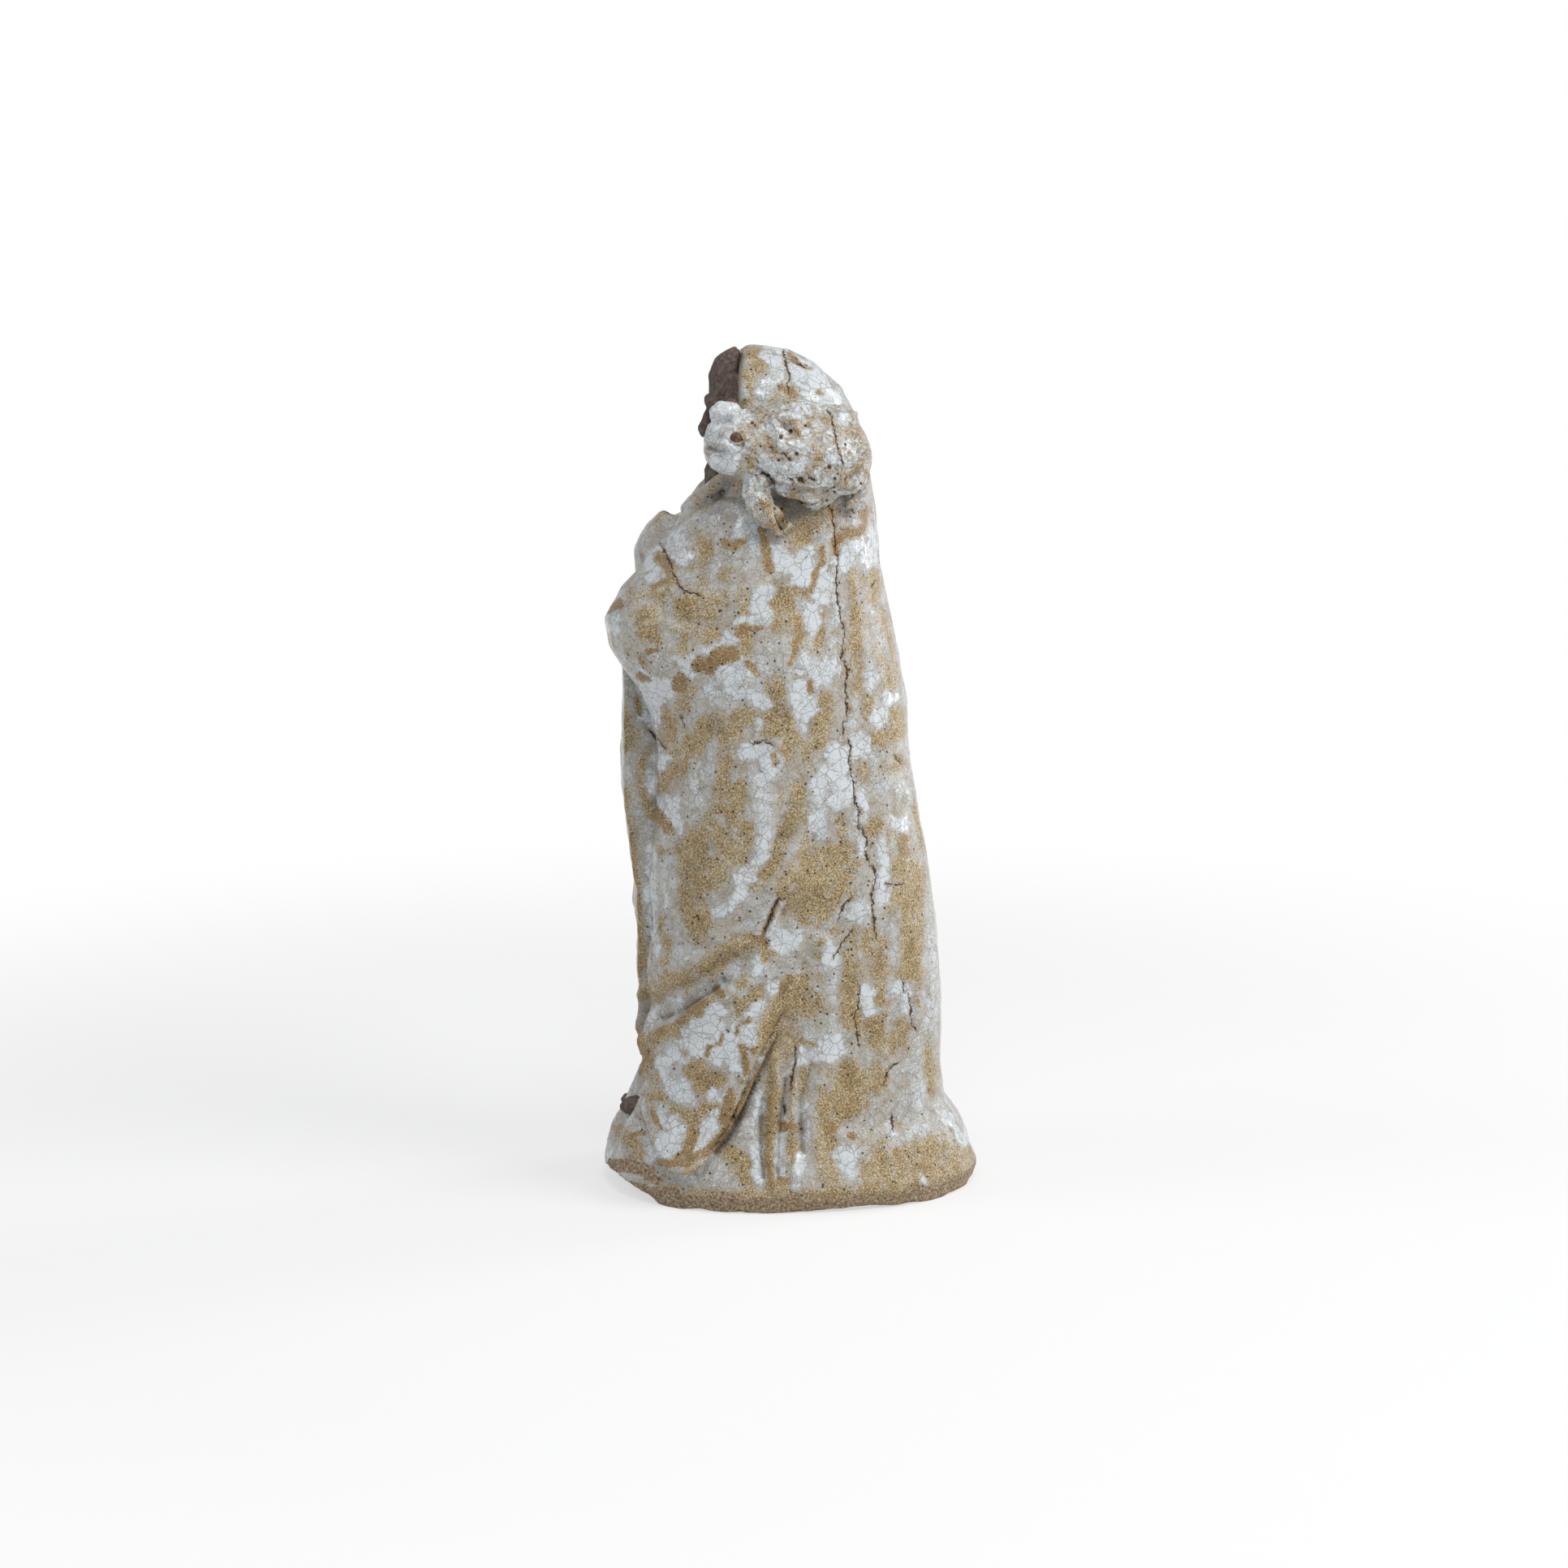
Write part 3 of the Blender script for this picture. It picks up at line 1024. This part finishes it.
# Open bubbles on the toad: radius and place.
TOAD_PITS: Strokes = (
    (4, (625, 288)), (4, (588, 302)), (6, (565, 316)), (5, (603, 359)), (4, (558, 374)), (6, (684, 392)),
    (3, (674, 396)), (8, (613, 424)), (3, (620, 430)), (4, (493, 281)), (3, (500, 287)), (3, (723, 335)),
    (2, (704, 386)), (2, (703, 398)), (3, (704, 408)), (4, (697, 420)), (3, (723, 421)), (2, (726, 416)),
    (3, (695, 441)), (3, (679, 450)), (4, (696, 453)), (3, (762, 432)), (2, (758, 448)), (2, (538, 467)),
    (2, (510, 470)), (2, (515, 482)), (2, (522, 492)), (2, (505, 485)), (2, (528, 470)), (2, (534, 486)),
    (2, (690, 300)), (3, (692, 284)), (2, (606, 314)), (2, (645, 350)), (2, (662, 341)),
)
# Cracks where the toad's clay was joined.
TOAD_CRACKS: Strokes = (
    ((675, 244), (687, 258), (694, 280), (697, 310), (703, 335), (707, 352), (714, 372), (721, 390)),
    ((530, 340), (540, 344), (548, 356)), ((558, 356), (575, 362), (592, 378)),
    ((622, 403), (640, 420), (656, 427)), ((508, 404), (530, 410), (552, 437)),
    ((574, 420), (596, 424), (598, 440)),
)
# Thick pale glaze on the toad: radius and line.
TOAD_POOLS: Strokes = (
    (30, (400, 262), (430, 270), (465, 258)), (22, (455, 238), (480, 256)), (22, (436, 300), (466, 345)),
    (28, (425, 378), (450, 362)), (12, (400, 322), (430, 330)), (12, (552, 278), (548, 300), (565, 330)),
    (16, (600, 258), (575, 262)), (12, (640, 240), (600, 245)), (14, (720, 270)),
    (14, (490, 410), (490, 450)), (9, (520, 415)), (18, (560, 405), (520, 380)),
    (16, (650, 410), (690, 430)), (14, (640, 475)), (20, (740, 350), (720, 380)),
    (12, (690, 350), (690, 380)), (12, (660, 295), (630, 310)), (10, (600, 340), (620, 345)),
    (12, (590, 390), (630, 385)), (12, (745, 330)), (12, (566, 440), (540, 440)),
)
# Worn tops of the toad, where the clay shows: radius and line.
TOAD_SANDS: Strokes = (
    (8, (400, 298), (418, 303)), (5, (388, 352), (402, 374)), (8, (398, 228), (430, 226)),
    (5, (378, 270), (383, 300)), (12, (478, 300), (492, 350), (485, 380)), (10, (465, 385), (440, 392)),
    (9, (520, 262), (520, 275)), (11, (570, 235), (590, 228)), (8, (560, 250)), (9, (640, 258), (632, 270)),
    (9, (672, 270), (690, 280)), (9, (735, 295), (750, 300)), (8, (762, 310), (768, 330)),
    (6, (540, 335), (550, 350)), (8, (640, 320), (660, 345)), (7, (680, 355), (660, 360)),
    (8, (650, 380), (640, 395)), (16, (520, 480), (552, 510)), (10, (545, 535), (572, 525)),
    (8, (535, 440), (550, 455)), (9, (565, 462), (600, 470)), (8, (720, 410), (760, 390)),
    (6, (610, 440), (600, 450)), (5, (530, 320), (515, 345)), (6, (500, 330), (508, 350)),
    (6, (610, 300), (590, 320)), (5, (770, 360), (750, 380)),
)
# The face's folds for one half: rise in millimetres, radius and line in tenths from its middle.
FACE_FOLDS: Strokes = (
    (-0.45, 3.5, (26, -78), (40, -82), (56, -83), (72, -81), (84, -76)),
    (-0.3, 5, (24, -96), (52, -104), (84, -95)), (0.2, 7, (30, -66), (54, -61), (78, -66)),
    (0.35, 8, (21, -30), (23, -27)), (-0.45, 4, (12, -20), (15, -19)),
    (-0.3, 5, (30, -44), (35, -32), (33, -22)), (-0.25, 12, (14, -92), (13, -66)),
    (0.25, 16, (66, -34), (74, -28)), (-0.4, 4, (8, -8), (34, 2), (62, 26), (84, 66), (92, 110)),
    (-0.35, 4, (12, -16), (46, -4), (80, 24), (100, 70)), (-0.4, 4, (4, 40), (7, 110), (5, 190)),
    (-0.45, 5, (20, 50), (24, 120), (17, 200)), (-0.4, 4, (36, 56), (40, 120), (32, 200)),
    (-0.45, 5, (53, 60), (56, 130), (46, 205)), (-0.4, 4, (70, 70), (72, 130), (60, 200)),
    (-0.45, 5, (88, 70), (86, 130), (72, 190)), (-0.35, 4, (104, 60), (100, 120), (84, 180)),
    (2.2, 66, (0, -262), (40, -255)),
)


@dataclass(frozen=True)
class Drawing:
    """What the drawn side of a piece shows, as strokes on the sheet."""

    folds: Strokes
    thins: Strokes
    veils: Strokes
    sands: Strokes
    pools: Strokes
    ochres: Strokes
    raw: Strokes
    cracks: Strokes
    pits: Strokes
    melts: Strokes = ()
    base: float = 0.34
    sand_level: float = -0.50
    relief: float = 1.0
    fleck: float = 0.0
    fleck_from: float = 470.0

    @property
    def washes(self) -> tuple[tuple[Strokes, float, float, float, float], ...]:
        """Returns each set of strokes with its level, the width of its edge, its speckle and its growth."""
        return (
            (self.thins, 0.00, 50.0, 0.40, 0.0),
            (self.veils, 0.56, 28.0, 0.20, 2.0),
            (self.sands, self.sand_level, 30.0, 0.36, 2.0),
            (self.pools, 0.98, 15.0, 0.14, 2.0),
            (self.ochres, -1.15, 8.0, 0.10, 0.0),
        )


class GlazedClay:
    """A piece of clay under work: its skin and how the drawn side sees it."""

    def __init__(
        self, piece: bpy.types.Object, side: Facing, drawing: Drawing, inner: np.ndarray | None = None
    ) -> None:
        """Takes a piece in hand.

        Args:
            piece: The piece.
            side: The side that the strokes are drawn on.
            drawing: The strokes.
            inner: 1 at points of its hidden inside.
        """
        self.piece, self.side, self.drawing = piece, side, drawing
        self.skin = ClaySkin(piece)
        self.outer = np.ones(self.skin.count) if inner is None else 1.0 - inner
        self.look()

    def look(self) -> None:
        """Works out again where the points fall on the sheet and how far they turn to the viewer."""
        normals = self.skin.normals()
        self.seen = self.side.sees(normals)
        self.flat = self.side.lay_flat(self.skin.points)

    def drape(self) -> None:
        """Rounds the melted edges, raises the drawn folds and sinks the furrows."""
        melt = np.zeros(self.skin.count)
        for radius, *line in self.drawing.melts:
            chosen, off, _ = reach(self.flat, line, 3.0 * radius)
            melt[chosen] = np.maximum(melt[chosen], np.exp(-((off / radius) ** 2)))
        melt *= self.seen * self.outer
        points = self.skin.points
        self.skin.points = points + melt[:, None] * (self.skin.soften(points, 12) - points)
        height = np.zeros(self.skin.count)
        for rise, radius, *line in self.drawing.folds:
            chosen, off, _ = reach(self.flat, line, 3.0 * radius)
            height[chosen] += self.drawing.relief * rise * np.exp(-((off / radius) ** 2))
        self.skin.push(height * self.seen * self.outer)
        self.look()

    def swell(self, forms: Forms) -> None:
        """Makes the skin uneven as hand-pressed clay is.

        Args:
            forms: For each kind of unevenness its height, width and seed.
        """
        uneven = sum(rise * mottle(self.skin.points, width, seed) for rise, width, seed in forms)
        self.skin.push(uneven * self.outer)
        self.look()

    def crest(self) -> np.ndarray:
        """Returns how many millimetres each point stands out from what surrounds it."""
        skin = self.skin
        return skin.soften(((skin.points - skin.soften(skin.points, 6)) * skin.normals()).sum(axis=1), 2)

    def paint(self) -> np.ndarray:
        """Lays the glaze by hand on the drawn side and by streaks elsewhere.

        Returns:
            The glaze's thickness, about -1.3 for none and 1.2 for a pool.
        """
        points, drawing = self.skin.points, self.drawing
        lumps = ((13.0, 3.0), (5.0, 7.0), (2.4, 11.0))
        coarse, middle, fine = (mottle(points, size, seed) for size, seed in lumps)
        flow = mottle(points, (5.0, 5.0, 26.0), 23.0)
        drawn = drawing.base + 0.22 * coarse + 0.28 * middle + 0.34 * flow
        ragged = 0.30 * middle + 0.22 * fine + 0.24 * coarse
        for strokes, level, soft, speckle, growth in drawing.washes:
            tone = level + speckle * (middle + 0.7 * fine + 0.6 * flow)
            for radius, *line in strokes:
                wobble = ragged * (radius + soft / 3.0) + 2.0 * fine
                cover(drawn, self.flat, line, radius + growth, wobble, tone, soft)
        streaks = mottle(points, (10.0, 10.0, 50.0), 21.0)
        loose = 0.30 + 0.75 * streaks + 0.4 * coarse + 0.35 * middle
        self.glaze = drawn * self.seen + loose * (1.0 - self.seen)
        self.glaze -= 0.9 * ease(self.crest(), 0.10, 0.34)
        if drawing.fleck:
            net = 1.0 - np.abs(mottle(points, 2.6, 15.0) + 0.3 * fine)
            start = drawing.fleck_from
            share = drawing.fleck * ease(self.flat[:, 0], start - 20.0, start + 20.0)
            self.glaze += share * (0.5 * mottle(points, 1.5, 19.0) - 1.4 * ease(net, 0.78, 0.98))
        self.skin.push(0.20 * ease(self.glaze, 0.35, 0.8) * self.outer)
        return self.glaze

    def crack(self) -> None:
        """Draws the cracks and pits as distances, and sinks them."""
        skin, step = self.skin, self.side.step()
        best = np.full(skin.count, 9.0)
        signed, shown = np.full(skin.count, 9.0), np.zeros(skin.count)
        for line in self.drawing.cracks:
            chosen, off, run = reach(self.flat, line, 4.0 / step)
            off, run = off * step, run * step
            near = np.abs(off) < best[chosen]
            where = chosen[near]
            best[where] = np.abs(off[near])
            signed[where] = off[near]
            shown[where] = ease(run[near], 0.0, 1.5) * ease(-np.abs(off[near]), -4.0, -2.0)
        shown *= ease(self.seen, 0.85, 1.0) * self.outer
        sink = -0.3 * shown * ease(-np.abs(signed), -1.3, -0.1)
        pit = np.zeros(skin.count)
        for radius, *line in self.drawing.pits:
            chosen, off, _ = reach(self.flat, line, 3.0 * radius)
            pit[chosen] = np.maximum(pit[chosen], np.exp(-((off / radius) ** 2)))
            sink[chosen] -= 0.16 * radius * np.exp(-((off / radius) ** 2)) * self.seen[chosen]
        skin.push(sink)
        skin.carry(Layer.CRACK, np.clip(signed, -9.0, 9.0))
        skin.carry(Layer.CRACK_ON, shown)
        skin.carry(Layer.PIT, pit * self.seen * self.outer)

    def bare(self, foot: float = -1.0) -> np.ndarray:
        """Finds the clay without glaze.

        Args:
            foot: How high the raw foot reaches.

        Returns:
            1 where the clay is raw.
        """
        points = self.skin.points
        low = points[:, 2] - 1.3 * mottle(points, 11.0, 2.0) - 0.8 * mottle(points, 3.0, 4.0)
        raw = np.maximum(1.0 - self.outer, ease(-low, -foot - 1.0, -foot + 1.0) * (foot > 0))
        for radius, *line in self.drawing.raw:
            patch = np.zeros(self.skin.count)
            cover(patch, self.flat, line, radius, 3.0 * mottle(points, 3.0, 4.0), 1.0, 8.0)
            raw = np.maximum(raw, patch * self.seen)
        return raw

    def done(self, raw: np.ndarray, smoke: np.ndarray) -> None:
        """Writes the skin and its layers.

        Args:
            raw: 1 where the clay has no glaze.
            smoke: 1 where bare clay is darkest.
        """
        skin = self.skin
        hollow = ((skin.soften(skin.points, 5) - skin.points) * skin.normals()).sum(axis=1)
        skin.carry(Layer.HOLLOW, np.clip(skin.soften(hollow, 2) * 2.6, 0.0, 1.0) * self.outer)
        skin.carry(Layer.GLAZE, self.glaze)
        skin.carry(Layer.BARE, raw)
        skin.carry(Layer.SMOKE, smoke)
        skin.keep_in(*(Vector(corner) for corner in CAD_BOX))
        skin.write()


@dataclass
class Robe:
    """The pressed halves, the hood, the two cloaks and the collar, fused under one glaze."""

    voxel: float = 0.93
    swell: float = 0.2
    relax_times: int = 36
    foot_raw: float = 7.0
    hood_foot: float = 236.0
    smoke_heights: tuple[float, float] = (225.0, 245.0)
    unevenness: Forms = ((0.35, 16.0, 5.0), (0.14, 4.5, 9.0))
    pleat_place: Place = (17.5, -58.0, 31.0)
    pleat_size: Place = (5.5, 9.0, 14.0)
    pleat_rise: float = 2.0
    cut_place: Place = (0.0, -2.0, 250.0)
    cut_across: Place = (0.0, 1.0, 0.04)
    middle_heights: tuple[float, ...] = (0, 100, 156, 208, 255, 280, 298)
    middle_places: tuple[float, ...] = (-0.5, 0.25, -4, -7.5, -3, -7.5, -14)
    nodes: tuple[str, ...] = ("back_half", "front_half", "hood_front", "left_cloak", "right_cloak", "collar")
    drawing: Drawing = Drawing(FOLDS, THINS, VEILS, SANDS, POOLS, OCHRES, RAW, CRACKS, PITS, MELTS)

    def inside(self, skin: ClaySkin) -> np.ndarray:
        """Finds the skin that faces the hollow.

        Args:
            skin: The robe's skin.

        Returns:
            1 inside the shell and the hood, 0 outside.
        """
        points, normals = skin.points, skin.normals()
        middle = np.interp(points[:, 2], self.middle_heights, self.middle_places)
        out = np.stack([points[:, 0], points[:, 1] - middle], axis=1)
        out /= np.linalg.norm(out, axis=1)[:, None] + 1e-6
        inward = (normals[:, :2] * out).sum(axis=1)
        return ease(skin.soften(ease(-inward, 0.2, 0.5), 4), 0.35, 0.65)

    def build(self, side: Facing, finish: bpy.types.Material) -> None:
        """Builds, carves, glazes and places the robe.

        Args:
            side: The side that the strokes are drawn on.
            finish: The crackle glaze.
        """
        piece = clay_body("Robe", self.nodes, self.voxel, self.swell)
        skin = ClaySkin(piece)
        hidden = skin.soften(self.inside(skin), 6) > 0.97
        piece = thin_out(piece, hidden, 1.0 - 0.93 * float(hidden.mean()))
        skin = ClaySkin(piece)
        inner = self.inside(skin)
        below_hood = ease(-skin.points[:, 2], -self.hood_foot, 10.0 - self.hood_foot)
        skin.relax(self.relax_times, np.maximum(0.75 * skin.crispness() * below_hood, inner * below_hood))
        skin.write()
        clay = GlazedClay(piece, side, self.drawing, inner)
        clay.drape()
        clay.swell(self.unevenness)
        self.lay_pleat(clay)
        self.wear_foot(clay)
        clay.paint()
        clay.crack()
        smoke = inner * ease(clay.skin.points[:, 2], *self.smoke_heights)
        clay.done(clay.bare(self.foot_raw), smoke)
        across = Vector(self.cut_across).normalized()
        back, front = halve(piece, ("Robe_back", "Robe_front"), Vector(self.cut_place) * MM, across)
        dress(back, finish, Slot.GLAZE, ("back_half",))
        dress(front, finish, Slot.GLAZE, self.nodes[1:])

    def lay_pleat(self, clay: GlazedClay) -> None:
        """Pulls a soft pleat forward beside the left shoe.

        Args:
            clay: The robe.
        """
        away = (clay.skin.points - np.array(self.pleat_place)) / np.array(self.pleat_size)
        gap = np.linalg.norm(away, axis=1)
        clay.skin.points[:, 1] -= self.pleat_rise * np.exp(-(gap**2)) * clay.outer

    def wear_foot(self, clay: GlazedClay) -> None:
        """Knocks the edge of the foot uneven and keeps it on the ground.

        Args:
            clay: The robe.
        """
        points = clay.skin.points
        low = ease(-points[:, 2], -6.0, 0.0)
        lift = np.clip(0.5 + 1.1 * mottle(points, (14.0, 14.0, 90.0), 31.0), 0.0, 1.4)
        points[:, 2] += low * lift * clay.outer
        points[:, 2] = np.maximum(points[:, 2], 0.03)
        clay.look()


@dataclass
class Toad:
    """The warty toad on the left shoulder, modelled by hand under the same glaze."""

    voxel: float = 0.5
    swell: float = 0.18
    warts: int = 420
    wart_area: tuple[int, int, int, int] = (476, 236, 770, 440)
    relax_times: int = 26
    unevenness: Forms = ((0.24, 7.0, 5.0), (0.05, 2.2, 9.0))
    eye_voxel: float = 0.3
    eye_forms: Forms = ((0.22, 1.6, 3.0), (0.10, 0.7, 8.0))
    nodes: tuple[str, ...] = (
        "toad_body", "toad_left_foreleg", "toad_right_foreleg", "toad_left_hindleg", "toad_right_hindleg")
    drawing: Drawing = Drawing(
        TOAD_FOLDS, (), (), TOAD_SANDS, TOAD_POOLS, (), (), TOAD_CRACKS, TOAD_PITS,
        base=0.52, sand_level=-0.05, relief=1.45, fleck=0.80)

    def wart(self, clay: GlazedClay) -> None:
        """Presses warts all over the toad's flank and back.

        Args:
            clay: The toad.
        """
        chance = np.random.default_rng(17)
        points = clay.skin.points
        low, high = points.min(axis=0), points.max(axis=0)
        height = np.zeros(clay.skin.count)
        for _ in range(self.warts):
            middle = low + (high - low) * chance.random(3)
            nearest = points[np.argmin(((points - middle) ** 2).sum(axis=1))]
            radius, rise = 0.7 + 1.1 * chance.random() ** 2, 0.30 + 0.45 * chance.random()
            gap = np.linalg.norm(points - nearest, axis=1)
            height = np.maximum(height, rise * np.exp(-((gap / radius) ** 2)))
        flat = clay.flat
        left, top, right, bottom = self.wart_area
        across, down = flat[:, 0], flat[:, 1]
        area = ease(across, left - 14, left + 14) * ease(-across, -right - 10, -right + 10)
        area *= 0.75 + 0.5 * ease(-down, -350, -260)
        area *= ease(down, top - 14, top + 8) * ease(-down, -bottom - 12, -bottom + 12)
        clay.skin.push(height * area)
        clay.look()

    def build(self, side: Facing, finish: bpy.types.Material, iron: bpy.types.Material) -> None:
        """Builds, carves, glazes and places the toad.

        Args:
            side: The side that the strokes are drawn on.
            finish: The crackle glaze.
            iron: The finish of the eyes.
        """
        piece = clay_body("Toad", self.nodes, self.voxel, self.swell)
        skin = ClaySkin(piece)
        skin.relax(self.relax_times)
        skin.write()
        clay = GlazedClay(piece, side, self.drawing)
        clay.drape()
        self.wart(clay)
        clay.swell(self.unevenness)
        clay.paint()
        clay.crack()
        nothing = np.zeros(clay.skin.count)
        clay.done(nothing, nothing)
        dress(piece, finish, Slot.GLAZE, self.nodes)
        for side_name in ("left", "right"):
            node = f"toad_{side_name}_eye"
            eye = soft_piece(node.capitalize(), (node,), self.eye_voxel, 10, self.eye_forms)
            dress(eye, iron, Slot.IRON, (node,))


def soft_piece(
    name: str,
    nodes: Sequence[str],
    voxel: float,
    relax_times: int,
    forms: Forms,
    swell: float = 0.12,
) -> bpy.types.Object:
    """Makes a small piece of clay from CAD nodes and softens it as fingers do.

    Args:
        name: The new piece's name.
        nodes: The CAD nodes that it stands for.
        voxel: Width of its faces.
        relax_times: How often its facets are smoothed.
        forms: For each kind of unevenness its height, width and seed.
        swell: How far the clay stands out from the CAD solids.

    Returns:
        The piece.
    """
    piece = clay_body(name, nodes, voxel, swell)
    skin = ClaySkin(piece)
    skin.relax(relax_times)
    skin.push(sum(rise * mottle(skin.points, width, seed) for rise, width, seed in forms))
    skin.keep_in(*(Vector(corner) for corner in CAD_BOX))
    skin.write()
    return piece


def reach(flat: np.ndarray, line: Line, far: float) -> tuple[np.ndarray, np.ndarray, np.ndarray]:
    """Measures only the points near a drawn line.

    Args:
        flat: Sheet places.
        line: The line's points.
        far: How far from the line points count.

    Returns:
        The numbers of those points, and what away_from says about them.
    """
    corners = np.array(line, dtype=float)
    low, high = corners.min(axis=0) - far, corners.max(axis=0) + far
    chosen = np.flatnonzero(((flat > low) & (flat < high)).all(axis=1))
    return (chosen, *away_from(flat[chosen], line))


def cover(
    values: np.ndarray,
    flat: np.ndarray,
    line: Line,
    radius: float,
    wobble: np.ndarray,
    level: np.ndarray | float,
    soft: float,
) -> None:
    """Brushes one stroke over a layer of values.

    Args:
        values: The values, changed in place.
        flat: Sheet places of the points.
        line: The stroke's line.
        radius: Half of the brush's width.
        wobble: How far its edge strays at each point.
        level: The value that it leaves.
        soft: How wide its edge fades.
    """
    chosen, off, _ = reach(flat, line, radius + soft + 22.0)
    share = ease(radius + wobble[chosen] - np.abs(off), -soft / 2, soft / 2)
    left = level[chosen] if isinstance(level, np.ndarray) else level
    values[chosen] = values[chosen] * (1.0 - share) + left * share


@dataclass
class Sage:
    """The unglazed head with its moustache and beard, and the shoe tips."""

    voxel: float = 0.55
    unevenness: Forms = ((0.16, 7.0, 5.0), (0.10, 2.4, 9.0))
    foot_voxel: float = 0.4
    foot_forms: Forms = ((0.25, 4.0, 5.0), (0.10, 1.6, 9.0))
    head_nodes: tuple[str, ...] = ("head", "moustache", "beard")
    feet: tuple[tuple[str, float], ...] = (("left_foot", 0.12), ("right_foot", 1.2))
    face: Facing = Facing(0.0, 0.0, 1577.0, (0.0, -30.0, 272.0), 15770.0, (0.0, 0.0))

    def carve(self, skin: ClaySkin) -> None:
        """Presses the eyes, the nostrils and the strands of the beard.

        Args:
            skin: The head's skin.
        """
        flat = self.face.lay_flat(skin.points)
        shown = self.face.sees(skin.normals()) * ease(-skin.points[:, 1], 8.0, 16.0)
        height = np.zeros(skin.count)
        for rise, radius, *line in FACE_FOLDS:
            for mirror in (1.0, -1.0):
                drawn = [(mirror * x, y) for x, y in line]
                chosen, off, _ = reach(flat, drawn, 3.0 * radius)
                height[chosen] += rise * np.exp(-((off / radius) ** 2))
        skin.push(height * shown)

    def build(self, finish: bpy.types.Material) -> None:
        """Builds the bare pieces.

        Args:
            finish: The bare stoneware.
        """
        head = soft_piece("Head", self.head_nodes, self.voxel, 9, self.unevenness)
        skin = ClaySkin(head)
        self.carve(skin)
        skin.write()
        dress(head, finish, Slot.BARE, self.head_nodes)
        for node, swell in self.feet:
            foot = soft_piece(node.capitalize(), (node,), self.foot_voxel, 8, self.foot_forms, swell)
            dress(foot, finish, Slot.BARE, (node,))


@dataclass(frozen=True)
class Lamp:
    """One softbox: its place, its width and height in metres, and its power in watts."""

    name: str
    place: Place
    size: tuple[float, float]
    power: float


@dataclass
class Studio:
    """Pale paper, soft lamps and the camera, in metres and in the camera's own millimetres."""

    floor_size: float = 6.0
    lens: float = 100.0
    sensor: float = 36.0
    far_end: float = 20.0
    sky: str = "#eef1f5"
    room_light: float = 0.34
    shine: float = 0.75
    aim: Place = (0.0, 0.0, 0.15)
    lamps: tuple[Lamp, ...] = (
        Lamp("Key_softbox", (0.70, 1.00, 1.10), (0.8, 0.8), 12.4),
        Lamp("Top_softbox", (0.75, -0.05, 1.15), (0.40, 0.40), 4.6),
        Lamp("Left_softbox", (0.10, -1.05, 1.15), (0.45, 0.45), 3.0),
        Lamp("Right_strip", (-0.45, 1.1, 0.45), (0.3, 1.3), 6.0),
    )

    def floor(self) -> None:
        """Lays the paper."""
        sheet = bmesh.new()
        bmesh.ops.create_grid(sheet, x_segments=1, y_segments=1, size=self.floor_size / 2)
        mesh = bpy.data.meshes.new("Paper")
        sheet.to_mesh(mesh)
        sheet.free()
        paper = add_piece("Paper", mesh)
        mesh.materials.append(PaleFloor().material())

    def hang(self, lamp: Lamp) -> None:
        """Hangs one softbox and turns it to the figurine.

        Args:
            lamp: The softbox.
        """
        data = bpy.data.lights.new(lamp.name, "AREA")
        data.shape = "RECTANGLE"
        data.size, data.size_y = lamp.size
        data.energy = lamp.power
        box = bpy.data.objects.new(lamp.name, data)
        box.location = lamp.place
        way = Vector(self.aim) - Vector(lamp.place)
        box.rotation_euler = way.to_track_quat("-Z", "Y").to_euler()
        bpy.context.scene.collection.objects.link(box)

    def world(self) -> None:
        """Fills the room with pale light and shows white to the camera."""
        world = bpy.data.worlds.new("Studio")
        bpy.context.scene.world = world
        world.use_nodes = True
        tree = world.node_tree
        tree.nodes.clear()
        room = add_node(tree, "Background", {"Color": to_linear(self.sky), "Strength": self.room_light})
        walls = add_node(tree, "Background", {"Color": to_linear(self.sky), "Strength": self.shine})
        white = add_node(tree, "Background", {"Color": to_linear("#ffffff"), "Strength": 1.0})
        camera = add_node(tree, "LightPath", out="Is Camera Ray")
        glossy = add_node(tree, "LightPath", out="Is Glossy Ray")
        lit = add_node(tree, "MixShader", {0: glossy, 1: room, 2: walls})
        shown = add_node(tree, "MixShader", {0: camera, 1: lit, 2: white})
        output = tree.nodes.new("ShaderNodeOutputWorld")
        tree.links.new(shown, output.inputs["Surface"])

    def camera(self, side: Facing) -> None:
        """Sets the camera at the photograph's angle.

        Args:
            side: The side that it looks at.
        """
        data = bpy.data.cameras.new("Camera")
        data.lens, data.sensor_width = self.lens, self.sensor
        data.clip_end = self.far_end
        camera = bpy.data.objects.new("Camera", data)
        bpy.context.scene.collection.objects.link(camera)
        pose = Matrix(side.axes().T.tolist()).to_4x4()
        pose.translation = Vector(side.viewer() * MM)
        camera.matrix_world = pose
        bpy.context.scene.camera = camera

    def build(self, side: Facing) -> None:
        """Sets up the whole studio.

        Args:
            side: The side that the camera looks at.
        """
        bpy.context.scene.view_settings.view_transform = "Standard"
        self.floor()
        self.world()
        for lamp in self.lamps:
            self.hang(lamp)
        self.camera(side)


def main() -> None:
    """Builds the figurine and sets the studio."""
    logging.basicConfig(level=logging.INFO, format="%(name)s: %(message)s")
    side = Facing()
    glaze, bare, iron = CrackleGlaze().material(), BareStoneware().material(), IronClay().material()
    Robe().build(side, glaze)
    Toad().build(side, glaze, iron)
    Sage().build(bare)
    Studio().build(side)


if __name__ == "__main__":
    main()
